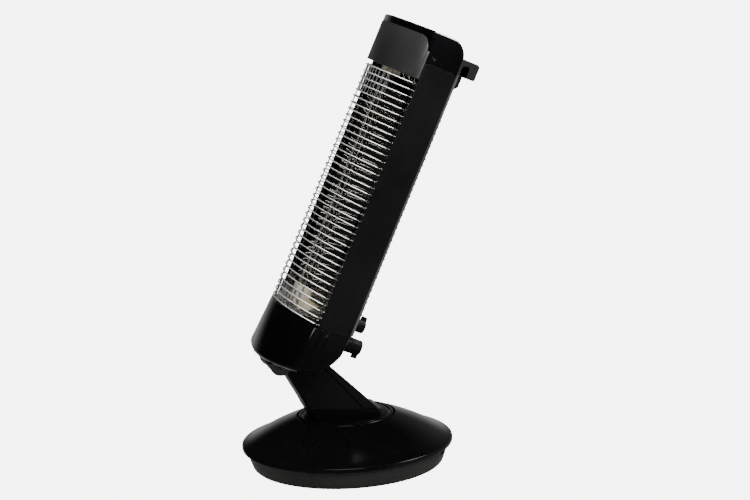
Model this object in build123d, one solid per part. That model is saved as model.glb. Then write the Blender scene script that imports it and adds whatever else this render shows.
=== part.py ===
"""Infrared patio heater tower: a leaning heater head on a swivelling neck and a domed base.

Frame: origin at the base's centre on the floor, +Z up, the heater's front faces -Y.
The head is drawn upright in its own frame (x across, y rearward, z up its length, with z = 0 at the
top edge of the bottom cap) and then set down on the neck by HEAD.
"""
import os
from math import asin, atan2, cos, degrees, radians, sin, sqrt

from build123d import *

os.makedirs("parts", exist_ok=True)

# ---------------------------------------------------------------- clearances
RUN_GAP = 0.3          # between pieces that move past each other
SHAFT_GAP = 0.06       # radial, shaft in a plain bearing
BOLT_GAP = 0.1         # radial, screw in its hole
SEAT_GAP = 0.1         # between a moulded piece and the rim it drops into

# ---------------------------------------------------------------- base
LIP_RADIUS = 125.0     # the base's widest circle
LIP_BOTTOM = 25.5
LIP_TOP = 31.0
DOME_TOP = 61.4        # the dome's height at the well's edge
DOME_CROWN = 1.6       # how far the dome swells over a straight cone
COVER_WALL = 2.5
INNER_FLATS = 24       # flats round the hidden insides of the base's round pieces
TRAY_FLATS = 2 * INNER_FLATS   # flats round the tray and the turntable's crown
WELL_RADIUS = 58.1
WELL_FLOOR = 50.0
PAN_TOP_RADIUS = 119.0
PAN_TAPER = 11.0       # how much narrower the tray is near the floor
PAN_FLOOR_RADIUS = PAN_TOP_RADIUS - PAN_TAPER
PAN_CHAMFER = 5.0
PAN_WALL = 2.5
PAN_BOTTOM = 2.0
BALLAST_INSET = 16.0
BALLAST_RADIUS = PAN_FLOOR_RADIUS - BALLAST_INSET
BALLAST_THICKNESS = 9.0
FOOT_INSET = 11.0
FOOT_OUTER = PAN_FLOOR_RADIUS - FOOT_INSET      # rubber ring that the base stands on
FOOT_WIDTH = 8.0
BASE_SCREW_INSET = 4.0
BASE_SCREW_RING = PAN_FLOOR_RADIUS - BASE_SCREW_INSET
BASE_SCREW_RADIUS = 1.8
BASE_SCREW_LENGTH = 18.0
BOSS_RADIUS = 4.5
OUTLET_ANGLE = 25.0    # cord outlet, from the rear (+Y) towards +X
OUTLET_WIDTH = 50.0
OUTLET_HEIGHT = 9.0
GLAND_RADIUS = 4.0
GLAND_WALL = 1.4
GLAND_LIFT = 1.6       # gap between the outlet's sill and the gland
GLAND_SET_BACK = 7.0   # from the tray's rim to the gland's step
GLAND_FRONT = 5.0
GLAND_REAR = 16.0

# ---------------------------------------------------------------- turntable
HUB_RADIUS = 19.0
HUB_BORE = 9.0
BUSH_WALL = 2.0
BUSH_RISE = 3.0        # how far the bush stands over the well's floor
DISC_RADIUS = 56.0
DISC_EDGE_TOP = 62.0
DISC_CROWN = 2.2
DISC_CHAMFER = 1.2
RETAINER_RADIUS = 26.0
RETAINER_THICKNESS = 3.0
RETAINER_SCREW_RING = 14.0
STOP_REACH = 7.0
STOP_WIDTH = 8.0
SWIVEL_HALF = 45.0     # degrees each way from where the head's rear is over the outlet
STOP_SPARE = 2.0       # degrees left at each stop

# ---------------------------------------------------------------- hinge's place
UNDERSIDE = 142.0      # height of the head's flat underside over the floor
PIVOT_Y = -81.8
PIVOT_DROP = 5.7       # from the underside down to the pivot
PIVOT_Z = UNDERSIDE - PIVOT_DROP

# ---------------------------------------------------------------- neck, in side view (y, z)
PLINTH_FRONT = -54.0
PLINTH_REAR = 37.0
PLINTH_FRONT_TOP = 78.5
PLINTH_DIP = 0.111     # fall of the plinth's top towards the rear, mm per mm
PLINTH_EDGE = 1.5      # how far the plinth stands out round the neck
NECK_HALF_WIDTH = 24.0
NECK_WALL = 2.5
NECK_SCREW_LENGTH = 26.0
NECK_FRONT_KNEE = (-57.4, 90.6)
NECK_FRONT_TOP = (PIVOT_Y + 8.1, PIVOT_Z - 14.8)
NECK_TOP_GAP = 4.5     # between the neck's top and the head
NECK_TOP = UNDERSIDE - NECK_TOP_GAP
NECK_SPLIT_LOW = (13.7, 72.3)      # line between the shell and the strip behind it
NECK_SPLIT_HIGH = (-19.6, 112.7)
NECK_REAR_LOW = (33.2, 69.9)
NECK_REAR_HIGH = (-23.7, 127.7)
NECK_GROOVE = 0.8
NECK_EDGE_ROUND = 5.0

# ---------------------------------------------------------------- hinge
EAR_RADIUS = 13.2
EAR_THICKNESS = 2.5
KNUCKLE_RADIUS = 12.4
WASHER_THICKNESS = 1.0
WASHER_RADIUS = 10.0
PIN_RADIUS = 3.0
PIN_HEAD_RADIUS = 5.0
PIN_HEAD = 1.4
NUT_ACROSS = 9.0
NUT_HEIGHT = 3.0
PLATE_THICKNESS = 2.0
PLATE_FRONT = -99.4
PLATE_REAR = -52.0
PLATE_HALF_WIDTH = 42.0
BRACKET_SCREW_X = 34.0
BRACKET_SCREW_INSET = 8.0

# ---------------------------------------------------------------- head
LEAN = 25.7            # degrees that the head leans back
HEAD_Y = -52.3         # where the head's own origin lies
HEAD_RISE = 49.9       # from the underside up to the head's own origin
HEAD_Z = UNDERSIDE + HEAD_RISE
HALF_WIDTH = 95.0
PANEL_DEPTH = 40.5
FRONT_LEAD = 4.0       # straight part of the plan outline before the front's arc
FRONT_SAG = 22.4       # sagitta of the front's arc
SHELL = 2.0
CAP_REAR_ROUND = 45.0
CAP_NOSE_ROUND = 8.0
CAP_EDGE = 1.0
PANEL_TOP = 323.0      # joint line between the side panels and the top cap
TOP_CAP_HEIGHT = 37.0
HEAD_TOP = PANEL_TOP + TOP_CAP_HEIGHT
TOP_REAR_ROUND = 20.0
TOP_EDGE = 1.2
SEAM = 0.3
PANEL_FLANGE = 8.0
PANEL_SHEET = 1.6
PANEL_EDGE = 1.5

VISOR_OVERLAP = 20.1   # how far the visor hangs over the guard's top wires
VISOR_LOW = PANEL_TOP - VISOR_OVERLAP
VISOR_STEP = 8.5       # from the visor's top edge to the head's top
VISOR_HIGH = HEAD_TOP - VISOR_STEP
VISOR_SHEET = 1.5
VISOR_ROUND = 16.0
VISOR_PROUD = 0.6
VISOR_END = -1.0       # where the visor's turned-back sides stop

REAR_FOLD_INSET = 29.0
REAR_FLAT_HALF = HALF_WIDTH - REAR_FOLD_INSET
REAR_FLAT_DEPTH = 52.5
REAR_LOW = 2.0
REAR_RISE = 17.0       # how far the rear cover laps over the top cap
REAR_HIGH = PANEL_TOP + REAR_RISE
REAR_SHEET = 1.5
LOUVRE_PITCH = 7.75
LOUVRE_FIRST = 25.0
LOUVRE_TOP_GAP = 57.0  # from the last louvre to the panels' top
LOUVRE_COUNT = 1 + int((PANEL_TOP - LOUVRE_TOP_GAP - LOUVRE_FIRST) / LOUVRE_PITCH)
LOUVRE_HALF_WIDTH = 58.0
LOUVRE_SLOT = 3.2
LOUVRE_LIP = 1.8

WIRE_PITCH = 7.93
WIRE_LOWEST = 3.3
WIRE_COUNT = 1 + int((VISOR_LOW - WIRE_LOWEST) / WIRE_PITCH)
WIRE_SIZE = 1.8
WIRE_RUNS = 8          # straight runs that each wire's bow is bent in
STAY_SIZE = 1.8
STAY_X = 47.5
STUB_SPACING = 11.0
STUB_ROWS_LOW = 3
STUB_ROWS_HIGH = 5
STAY_END = 2.0         # how far a stay runs past the last wire
EDGE_STAY_REAR = -1.6
WELD_GAP = 0.02        # between a stay and the wires that it is welded to

TUBE_RADIUS = 7.5
TUBE_WALL = 1.2
TUBE_DEPTH = -4.0
TUBE_LOW = 30.0
TUBE_TOP_GAP = 27.0    # from the bare tube's end to the panels' top
TUBE_HIGH = PANEL_TOP - TUBE_TOP_GAP
FILAMENT_RADIUS = 1.5
FILAMENT_STUB = 2.0    # how far the element stands out of the tube's ends
HOLDER_RADIUS = 9.5
HOLDER_LENGTH = 22.0
HOLDER_GRIP = 12.0     # length of tube that the holder covers
TUBE_GAP = 0.1

REFLECTOR_SHEET = 0.8
REFLECTOR_INSET = 4.0  # how much shorter the trough is than the bare tube, each end
REFLECTOR_LOW = TUBE_LOW + REFLECTOR_INSET
REFLECTOR_HIGH = TUBE_HIGH - REFLECTOR_INSET
REFLECTOR_SIDE_GAP = 3.8
REFLECTOR_HALF = HALF_WIDTH - REFLECTOR_SIDE_GAP
REFLECTOR_FRONT = 4.0
REFLECTOR_DEEP = 29.0
FLAP_REACH = 24.5
FLAP_INSET = 0.3

SHIELD_DEPTH = 34.0
SHIELD_SHEET = 1.0
TERMINAL_HALF = 22.0
TERMINAL_DEPTH = 10.0
TERMINAL_SPAN = (24.0, 36.0)
TERMINAL_PITCH = 10.0
TERMINAL_WELL = 2.0    # half of a wire well's width
CUTOUT_RADIUS = 8.0
CUTOUT_DEPTH = 6.0
CUTOUT_PLACE = (-35.0, 60.0)
TILT_HALF = 9.0
TILT_DEPTH = 13.0
TILT_SPAN = (50.0, 74.0)
TILT_X = 37.0
RAIL_INSET = 9.0       # from the side panels' outside to the shield's edge
RAIL_X = HALF_WIDTH - RAIL_INSET
RAIL_WIDTH = 10.0
RAIL_SHEET = 1.5
RAIL_LOW = -12.0
RAIL_RISE = 13.0       # how far the rails reach into the top cap
RAIL_HIGH = PANEL_TOP + RAIL_RISE

HANDLE_HALF = 35.0
HANDLE_BOTTOM = PANEL_TOP + 1.0
HANDLE_HEIGHT = 19.8
HANDLE_TOP = HANDLE_BOTTOM + HANDLE_HEIGHT
HANDLE_ROOT_DEPTH = 66.5
HANDLE_LIP_DEPTH = 71.0
HANDLE_OUTER_DEPTH = 83.5
HANDLE_SLOT_HEIGHT = 12.0
HANDLE_SLOT_TOP = HANDLE_BOTTOM + HANDLE_SLOT_HEIGHT
HANDLE_ROUND = 4.0
BLOCK_HEIGHT = 18.0
BLOCK_LOW = HANDLE_BOTTOM - BLOCK_HEIGHT
BLOCK_DEPTH = 69.6
BLOCK_HALF = 30.0

CONTROL_HALF = 20.0
CONTROL_LOW = -31.0
CONTROL_HIGH = 21.0
CONTROL_DEPTH = 62.0
CONTROL_WALL = 2.0

HEAT_KNOB_S = 8.0
HEAT_KNOB_RADIUS = 8.5
HEAT_KNOB_FACE = 83.7
TIMER_KNOB_S = -17.0
TIMER_KNOB_RADIUS = 9.8
TIMER_KNOB_FACE = 89.2
KNOB_DRAFT = 1.5       # degrees
KNOB_FLATS = 16        # grip flats round the knob
POINTER_WIDTH = 4.0
POINTER_REACH = 3.6
SHAFT_RADIUS = 3.0
SWITCH_HALF = 9.0
SWITCH_DEPTH = 16.0
TIMER_HALF = 11.0

SCREW_RADIUS = 1.9
SCREW_HEAD_RADIUS = 3.6
SCREW_HEAD = 1.6
SIDE_SCREW_LOW = (13.1, -4.7)
SIDE_SCREW_HIGH = (7.6, PANEL_TOP + 6.5)
RECESS_RADIUS = 4.8
RECESS_DEPTH = 1.0

HEAD = Pos(0, HEAD_Y, HEAD_Z) * Rot(-LEAN, 0, 0)


# ---------------------------------------------------------------- helpers
def write(node, *solids):
    """Write one node; like pieces share it as separate solids."""
    shapes = []
    for solid in solids:
        shapes.extend(solid.solids())
    shape = shapes[0] if len(shapes) == 1 else Compound(children=shapes)
    export_step(shape, f"parts/{node}.step")


def side_profile(points, half_width):
    """A straight-edged outline in side view (y, z), as wide as half_width each way."""
    face = make_face(Polyline(*points, close=True))
    return extrude(Plane.YZ * face, half_width, both=True)


def cylinder_up(radius, low, high, x=0.0, y=0.0):
    """An upright cylinder between two heights."""
    return Pos(x, y, (low + high) / 2) * Cylinder(radius, high - low)


def cylinder_across(radius, start, end, y, z):
    """A cylinder along X between two places."""
    return Pos((start + end) / 2, y, z) * Rot(0, 90, 0) * Cylinder(radius, end - start)


def cylinder_back(radius, start, end, x, z):
    """A cylinder along Y between two places."""
    return Pos(x, (start + end) / 2, z) * Rot(90, 0, 0) * Cylinder(radius, end - start)


def hex_up(radius, low, high, x=0.0, y=0.0):
    """A six-sided prism between two heights: screws and their holes, drawn with few faces."""
    return Pos(x, y, low) * extrude(RegularPolygon(radius, 6), high - low)


def hex_across(radius, start, end, y, z):
    """A six-sided prism along X between two places."""
    return Pos(start, y, z) * extrude(Plane.YZ * RegularPolygon(radius, 6), end - start)


def hex_back(radius, start, end, x, z):
    """A six-sided prism along Y between two places."""
    return Pos(x, end, z) * extrude(Plane.XZ * RegularPolygon(radius, 6), end - start)


def flats(radius, sides=12):
    """A regular outline whose flats touch a circle: round forms that nothing turns in."""
    return RegularPolygon(radius, sides, major_radius=False)


def flats_up(radius, low, high, x=0.0, y=0.0, sides=12):
    """A prism with flats round a circle, between two heights."""
    return Pos(x, y, low) * extrude(flats(radius, sides), high - low)


def flats_across(radius, start, end, y, z):
    """A prism with flats round a circle, along X between two places."""
    return Pos(start, y, z) * extrude(Plane.YZ * flats(radius), end - start)


def flats_back(radius, start, end, x, z):
    """A prism with flats round a circle, along Y between two places."""
    return Pos(x, end, z) * extrude(Plane.XZ * flats(radius), end - start)


def block(x_span, y_span, z_span):
    """A box between three pairs of places."""
    size = [span[1] - span[0] for span in (x_span, y_span, z_span)]
    middle = [(span[1] + span[0]) / 2 for span in (x_span, y_span, z_span)]
    return Pos(*middle) * Box(*size)


def ring_places(count, radius, first=0.0):
    """Places on a circle about the origin."""
    angles = [radians(first + 360 * step / count) for step in range(count)]
    return [(radius * cos(angle), radius * sin(angle)) for angle in angles]


def turned(profile_points):
    """A solid of revolution about Z from straight-edged points (radius, height)."""
    return revolve(Plane.XZ * make_face(Polyline(*profile_points, close=True)), Axis.Z)


# ---------------------------------------------------------------- base
def dome_height(radius, drop=0.0):
    """Height of the straight cone under the dome's swell."""
    share = (LIP_RADIUS - 1 - radius) / (LIP_RADIUS - 1 - WELL_RADIUS)
    return LIP_TOP + share * (DOME_TOP - LIP_TOP) - drop


def base_cover():
    """Domed shell: lip, two cones that swell over a straight line, and the turntable's well."""
    middle_radius = (LIP_RADIUS + WELL_RADIUS) / 2
    shell = turned([
        (0, LIP_BOTTOM),
        (LIP_RADIUS, LIP_BOTTOM),
        (LIP_RADIUS, LIP_TOP - 1.5),
        (LIP_RADIUS - 1, LIP_TOP),
        (middle_radius, dome_height(middle_radius) + DOME_CROWN),
        (WELL_RADIUS, DOME_TOP),
        (WELL_RADIUS, WELL_FLOOR),
        (0, WELL_FLOOR),
    ])
    well_wall = WELL_RADIUS + COVER_WALL
    well_under = WELL_FLOOR - COVER_WALL
    hollow_top = dome_height(well_wall, COVER_WALL)
    hollow_rim = LIP_TOP - COVER_WALL
    hollow_radius = (LIP_RADIUS - COVER_WALL) * cos(radians(180 / INNER_FLATS))
    lean = degrees(atan2(hollow_radius - well_wall, hollow_top - hollow_rim))
    skirt = extrude(flats(hollow_radius, INNER_FLATS), hollow_rim - LIP_BOTTOM)
    roof = extrude(flats(hollow_radius, INNER_FLATS), hollow_top - hollow_rim, taper=lean)
    hollow = Pos(0, 0, LIP_BOTTOM) * skirt + Pos(0, 0, hollow_rim) * roof
    hollow -= flats_up(well_wall, well_under, hollow_top + 1, sides=INNER_FLATS)
    shell -= hollow
    shell -= flats_up(HUB_RADIUS + SHAFT_GAP + BUSH_WALL + SEAT_GAP, well_under - 1, WELL_FLOOR + 1)
    pillar_low = PAN_BOTTOM + PAN_WALL + BALLAST_THICKNESS
    pillar_high = dome_height(BASE_SCREW_RING + BOSS_RADIUS, 0.5)
    for x, y in ring_places(4, BASE_SCREW_RING, 45):
        shell += hex_up(BOSS_RADIUS, pillar_low, pillar_high, x, y)
        shell -= hex_up(BASE_SCREW_RADIUS + BOLT_GAP, pillar_low - 1, pillar_high - 4, x, y)
    lug_half = degrees(asin(STOP_WIDTH / 2 / RETAINER_RADIUS))
    for way in (-1, 1):
        heading = -90 - OUTLET_ANGLE + way * (SWIVEL_HALF + 2 * lug_half + STOP_SPARE)
        reach = RETAINER_RADIUS + STOP_REACH / 2 + 1
        stop = block((-STOP_REACH / 2, STOP_REACH / 2), (-STOP_WIDTH / 2, STOP_WIDTH / 2), (-6.0, 0.0))
        shell += Rot(0, 0, heading) * Pos(reach, 0, well_under) * stop
    return shell


def pan_rim():
    return LIP_BOTTOM - SEAT_GAP


def narrowing_down(radius, top, depth, taper, sides):
    """A many-sided cone frustum that hangs from a height and narrows towards its foot."""
    return Pos(0, 0, top) * Rot(180, 0, 0) * extrude(flats(radius, sides), depth, taper=taper)


def outlet_place():
    """Unit vector from the base's centre to the cord outlet."""
    return sin(radians(OUTLET_ANGLE)), cos(radians(OUTLET_ANGLE))


def base_pan():
    """Tray that tapers in to the floor, with four screw pillars and the cord outlet."""
    rim = pan_rim()
    floor_top = PAN_BOTTOM + PAN_WALL
    side = rim - PAN_BOTTOM - PAN_CHAMFER
    flare = degrees(atan2(PAN_TAPER, side))
    pan = narrowing_down(PAN_TOP_RADIUS, rim, side, flare, TRAY_FLATS)
    pan += narrowing_down(PAN_FLOOR_RADIUS, PAN_BOTTOM + PAN_CHAMFER, PAN_CHAMFER, 45, TRAY_FLATS)
    inner_top = (PAN_TOP_RADIUS - PAN_WALL) * cos(radians(180 / INNER_FLATS))
    pan -= narrowing_down(inner_top, rim, rim - floor_top, flare, INNER_FLATS)
    for x, y in ring_places(4, BASE_SCREW_RING, 45):
        pan += hex_up(BOSS_RADIUS, floor_top - 1, floor_top + BALLAST_THICKNESS - SEAT_GAP, x, y)
        pan -= hex_up(BASE_SCREW_RADIUS + BOLT_GAP, 0, rim, x, y)
        pan -= hex_up(SCREW_HEAD_RADIUS + BOLT_GAP, 0, PAN_BOTTOM + PAN_CHAMFER, x, y)
    across, back = outlet_place()
    place = Pos(PAN_TOP_RADIUS * across, PAN_TOP_RADIUS * back, rim) * Rot(0, 0, -OUTLET_ANGLE)
    pan -= place * Box(OUTLET_WIDTH, 2 * (PAN_TAPER + PAN_WALL), 2 * OUTLET_HEIGHT)
    return pan


def cord_gland():
    """A stepped bush that stands in a saddle behind the outlet."""
    across, back = outlet_place()
    height = pan_rim() - OUTLET_HEIGHT + GLAND_RADIUS + GLAND_LIFT
    reach = PAN_TOP_RADIUS - GLAND_SET_BACK
    passage = hex_back(GLAND_RADIUS - GLAND_WALL, -GLAND_REAR - 1, GLAND_FRONT + 1, 0, 0)
    bush = flats_back(GLAND_RADIUS, -GLAND_REAR, GLAND_FRONT, 0, 0) - passage
    saddle_low = PAN_BOTTOM + PAN_WALL - height
    saddle = block((-GLAND_RADIUS - 1, GLAND_RADIUS + 1), (1 - GLAND_REAR, 4 - GLAND_REAR), (saddle_low, 0)) - passage
    return Pos(reach * across, reach * back, height) * Rot(0, 0, -OUTLET_ANGLE) * (bush + saddle)


def ballast_plate():
    low = PAN_BOTTOM + PAN_WALL
    return flats_up(BALLAST_RADIUS, low, low + BALLAST_THICKNESS, sides=INNER_FLATS)


def foot_ring():
    """Flat rubber ring under the tray."""
    outer = flats_up(FOOT_OUTER, 0, PAN_BOTTOM, sides=INNER_FLATS)
    return outer - flats_up(FOOT_OUTER - FOOT_WIDTH, -1, PAN_BOTTOM + 1, sides=INNER_FLATS)


def screw_up(x, y, head_low, length):
    """A six-sided screw driven upwards, its head at the bottom."""
    head = hex_up(SCREW_HEAD_RADIUS, head_low, head_low + SCREW_HEAD, x, y)
    return head + hex_up(BASE_SCREW_RADIUS, head_low, head_low + length, x, y)


def base_screws():
    low = PAN_BOTTOM + PAN_CHAMFER - SCREW_HEAD
    return [screw_up(x, y, low, BASE_SCREW_LENGTH) for x, y in ring_places(4, BASE_SCREW_RING, 45)]


def swivel_bush():
    """Plastic sleeve whose flats keep it from turning in the well; its top carries the turntable."""
    bore = HUB_RADIUS + SHAFT_GAP
    sleeve = flats_up(bore + BUSH_WALL, WELL_FLOOR - COVER_WALL, WELL_FLOOR + BUSH_RISE)
    return sleeve - cylinder_up(bore, WELL_FLOOR - COVER_WALL - 1, WELL_FLOOR + BUSH_RISE + 1)


# ---------------------------------------------------------------- turntable and neck
def plinth_top(y):
    """Height of the plinth's sloping top."""
    return PLINTH_FRONT_TOP - PLINTH_DIP * (y - PLINTH_FRONT)


def neck_screw_places():
    return [(0.0, -38.0), (0.0, -2.0)]


def hub_bottom():
    return WELL_FLOOR - COVER_WALL - RUN_GAP


def turntable_disc():
    under = WELL_FLOOR + BUSH_RISE + RUN_GAP
    rim = DISC_RADIUS - DISC_CHAMFER
    disc = turned([
        (0, hub_bottom()), (HUB_RADIUS, hub_bottom()), (HUB_RADIUS, under), (DISC_RADIUS, under),
        (DISC_RADIUS, DISC_EDGE_TOP - DISC_CHAMFER), (rim, DISC_EDGE_TOP), (0, DISC_EDGE_TOP),
    ])
    crown = RegularPolygon(rim, TRAY_FLATS)
    disc += Pos(0, 0, DISC_EDGE_TOP) * extrude(crown, DISC_CROWN, taper=degrees(atan2(rim - HUB_RADIUS, DISC_CROWN)))
    front = PLINTH_FRONT - PLINTH_EDGE + 2
    rear = PLINTH_REAR + PLINTH_EDGE
    half = NECK_HALF_WIDTH + PLINTH_EDGE
    plinth = block((-half, half), (front, rear), (DISC_EDGE_TOP - 1, PLINTH_FRONT_TOP + 5))
    plinth = fillet(plinth.edges().filter_by(Axis.Z), NECK_EDGE_ROUND + PLINTH_EDGE)
    above = side_profile([
        (front - 5, plinth_top(front - 5)), (rear + 5, plinth_top(rear + 5)),
        (rear + 5, UNDERSIDE), (front - 5, UNDERSIDE),
    ], half + 5)
    plinth -= above
    disc += plinth
    disc -= hex_up(HUB_BORE, hub_bottom() - 1, UNDERSIDE)
    for x, y in neck_screw_places():
        disc -= hex_up(BASE_SCREW_RADIUS + BOLT_GAP, under - 1, UNDERSIDE, x, y)
        disc -= hex_up(SCREW_HEAD_RADIUS + BOLT_GAP, under - 1, under + SCREW_HEAD + 0.6, x, y)
    for x, y in retainer_screw_places():
        disc -= hex_up(BASE_SCREW_RADIUS + BOLT_GAP, hub_bottom() - 1, hub_bottom() + 9, x, y)
    return disc


def retainer_screw_places():
    return ring_places(3, RETAINER_SCREW_RING, 30)


def swivel_retainer():
    """Eight-sided steel plate under the well, screwed to the hub, with the lug that meets the stops."""
    top = hub_bottom()
    low = top - RETAINER_THICKNESS
    plate = Pos(0, 0, low) * extrude(RegularPolygon(RETAINER_RADIUS, 8), RETAINER_THICKNESS)
    plate -= hex_up(HUB_BORE, low - 1, top + 1)
    lug_tip = -RETAINER_RADIUS - STOP_REACH
    plate += block((-STOP_WIDTH / 2, STOP_WIDTH / 2), (lug_tip, -RETAINER_RADIUS + 5), (low, top))
    for x, y in retainer_screw_places():
        plate -= hex_up(BASE_SCREW_RADIUS + BOLT_GAP, low - 1, top + 1, x, y)
    return plate


def retainer_screws():
    low = hub_bottom() - RETAINER_THICKNESS - SCREW_HEAD
    return [screw_up(x, y, low, 11) for x, y in retainer_screw_places()]


def neck_screw_low():
    return WELL_FLOOR + BUSH_RISE + RUN_GAP + 0.6


def neck_screws():
    return [screw_up(x, y, neck_screw_low(), NECK_SCREW_LENGTH) for x, y in neck_screw_places()]


def on_line(low, high, z):
    """The y of a slanted line at height z."""
    return low[0] + (z - low[1]) * (high[0] - low[0]) / (high[1] - low[1])


def line_meets_plinth(low, high):
    """Where a slanted line comes down on the plinth's top."""
    run = (high[0] - low[0]) / (high[1] - low[1])
    height = (PLINTH_FRONT_TOP - PLINTH_DIP * (low[0] - run * low[1] - PLINTH_FRONT)) / (1 + PLINTH_DIP * run)
    return low[0] + (height - low[1]) * run, height


def neck_shell():
    split_foot = line_meets_plinth(NECK_SPLIT_LOW, NECK_SPLIT_HIGH)
    split_top = on_line(NECK_SPLIT_LOW, NECK_SPLIT_HIGH, NECK_TOP)
    outline = [
        (PLINTH_FRONT + 2, plinth_top(PLINTH_FRONT + 2)),
        NECK_FRONT_KNEE,
        NECK_FRONT_TOP,
        (PIVOT_Y, PIVOT_Z),
        (PIVOT_Y + 6, NECK_TOP),
        (split_top, NECK_TOP),
        split_foot,
    ]
    neck = side_profile(outline, NECK_HALF_WIDTH)
    front_edges = neck.edges().filter_by(lambda edge: abs(edge.center().X) > NECK_HALF_WIDTH - 0.1)
    front_edges = front_edges.filter_by(lambda edge: edge.center().Y < on_line(
        NECK_FRONT_KNEE, NECK_FRONT_TOP, edge.center().Z) + 4 and edge.center().Z < NECK_FRONT_TOP[1])
    neck = fillet(front_edges, NECK_EDGE_ROUND)
    pocket_low = 12.0
    pocket = side_profile([
        (PLINTH_FRONT + 6, plinth_top(PLINTH_FRONT) + pocket_low),
        (NECK_FRONT_TOP[0] + 8, NECK_FRONT_TOP[1]),
        (split_top - 10, NECK_TOP - NECK_WALL),
        (on_line(NECK_SPLIT_LOW, NECK_SPLIT_HIGH, NECK_TOP - NECK_WALL) + 1, NECK_TOP - NECK_WALL),
        (on_line(NECK_SPLIT_LOW, NECK_SPLIT_HIGH, plinth_top(0) + pocket_low) + 1, plinth_top(0) + pocket_low),
    ], NECK_HALF_WIDTH - NECK_WALL)
    neck -= pocket
    neck += cylinder_across(KNUCKLE_RADIUS, -NECK_HALF_WIDTH, NECK_HALF_WIDTH, PIVOT_Y, PIVOT_Z)
    neck -= cylinder_across(PIN_RADIUS + SHAFT_GAP, -NECK_HALF_WIDTH - 1, NECK_HALF_WIDTH + 1, PIVOT_Y, PIVOT_Z)
    for x, y in neck_screw_places():
        neck -= hex_up(BASE_SCREW_RADIUS + BOLT_GAP, DISC_EDGE_TOP, neck_screw_low() + NECK_SCREW_LENGTH + 1.1, x, y)
    return neck


def neck_rear_cover():
    run_in = (NECK_SPLIT_LOW[0] + NECK_GROOVE, NECK_SPLIT_LOW[1] + NECK_GROOVE)
    run_out = (NECK_SPLIT_HIGH[0] + NECK_GROOVE, NECK_SPLIT_HIGH[1] + NECK_GROOVE)
    inner_foot = line_meets_plinth(run_in, run_out)
    outer_foot = line_meets_plinth(NECK_REAR_LOW, NECK_REAR_HIGH)
    inner_top = on_line(run_in, run_out, NECK_TOP)
    outer_top = on_line(NECK_REAR_LOW, NECK_REAR_HIGH, NECK_TOP)
    strip = side_profile([
        inner_foot, (inner_top, NECK_TOP), (outer_top, NECK_TOP), NECK_REAR_LOW, outer_foot,
    ], NECK_HALF_WIDTH)
    tongue_high = NECK_TOP - 19.5
    tongue_low = plinth_top(0) + 16
    reach = 5.0
    tongue = side_profile([
        (on_line(run_in, run_out, tongue_high) + 2, tongue_high),
        (on_line(run_in, run_out, tongue_high) - reach, tongue_high),
        (on_line(run_in, run_out, tongue_low) - reach, tongue_low),
        (on_line(run_in, run_out, tongue_low) + 2, tongue_low),
    ], NECK_HALF_WIDTH - NECK_WALL - SEAT_GAP)
    return strip + tongue


# ---------------------------------------------------------------- hinge
def hinge_bracket():
    plate_low = UNDERSIDE - PLATE_THICKNESS
    plate = block(
        (-PLATE_HALF_WIDTH, PLATE_HALF_WIDTH), (PLATE_FRONT, PLATE_REAR), (plate_low, UNDERSIDE))
    plate = chamfer(plate.edges().filter_by(Axis.Z), 4)
    inner = NECK_HALF_WIDTH + WASHER_THICKNESS + SEAT_GAP
    slot_half = EAR_RADIUS + RUN_GAP
    plate -= block((-inner, inner), (PIVOT_Y - slot_half, PIVOT_Y + slot_half + 4), (plate_low - 1, UNDERSIDE + 1))
    for side in (-1, 1):
        near = side * inner
        far = side * (inner + EAR_THICKNESS)
        ear = cylinder_across(EAR_RADIUS, min(near, far), max(near, far), PIVOT_Y, PIVOT_Z)
        ear -= block((-PLATE_HALF_WIDTH, PLATE_HALF_WIDTH), (PLATE_FRONT, PLATE_REAR), (UNDERSIDE, UNDERSIDE + EAR_RADIUS))
        plate += ear
        window_end = side * (inner + EAR_THICKNESS + NUT_HEIGHT + 1.5)
        plate -= block(
            (min(far, window_end), max(far, window_end)),
            (PIVOT_Y - NUT_ACROSS * 0.7, PIVOT_Y + NUT_ACROSS * 0.7), (plate_low - 1, UNDERSIDE + 1))
    plate -= flats_across(PIN_RADIUS + BOLT_GAP / 2, -PLATE_HALF_WIDTH, PLATE_HALF_WIDTH, PIVOT_Y, PIVOT_Z)
    for x, y in bracket_screw_places():
        plate -= hex_up(BASE_SCREW_RADIUS + BOLT_GAP, plate_low - 1, UNDERSIDE + 1, x, y)
    return plate


def bracket_screw_places():
    front = PLATE_FRONT + BRACKET_SCREW_INSET
    rear = PLATE_REAR - BRACKET_SCREW_INSET
    return [(x, y) for x in (-BRACKET_SCREW_X, BRACKET_SCREW_X) for y in (front, rear)]


def bracket_screws():
    low = UNDERSIDE - PLATE_THICKNESS - SCREW_HEAD
    return [screw_up(x, y, low, 8) for x, y in bracket_screw_places()]


def ear_outer():
    return NECK_HALF_WIDTH + WASHER_THICKNESS + SEAT_GAP + EAR_THICKNESS


def hinge_pin():
    outer = ear_outer()
    head = hex_across(PIN_HEAD_RADIUS, outer, outer + PIN_HEAD, PIVOT_Y, PIVOT_Z)
    return head + cylinder_across(PIN_RADIUS, -outer - NUT_HEIGHT - 1, outer + PIN_HEAD, PIVOT_Y, PIVOT_Z)


def hinge_nut():
    outer = ear_outer()
    hexagon = flats(NUT_ACROSS / 2, 6) - flats(PIN_RADIUS + BOLT_GAP / 2)
    nut = extrude(Plane.YZ * hexagon, NUT_HEIGHT)
    return Pos(-outer - NUT_HEIGHT, PIVOT_Y, PIVOT_Z) * nut


def friction_washers():
    washers = []
    for side in (-1, 1):
        near = side * NECK_HALF_WIDTH
        far = side * (NECK_HALF_WIDTH + WASHER_THICKNESS)
        ring = flats_across(WASHER_RADIUS, min(near, far), max(near, far), PIVOT_Y, PIVOT_Z)
        washers.append(ring - flats_across(PIN_RADIUS + SHAFT_GAP, -ear_outer(), ear_outer(), PIVOT_Y, PIVOT_Z))
    return washers


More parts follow.
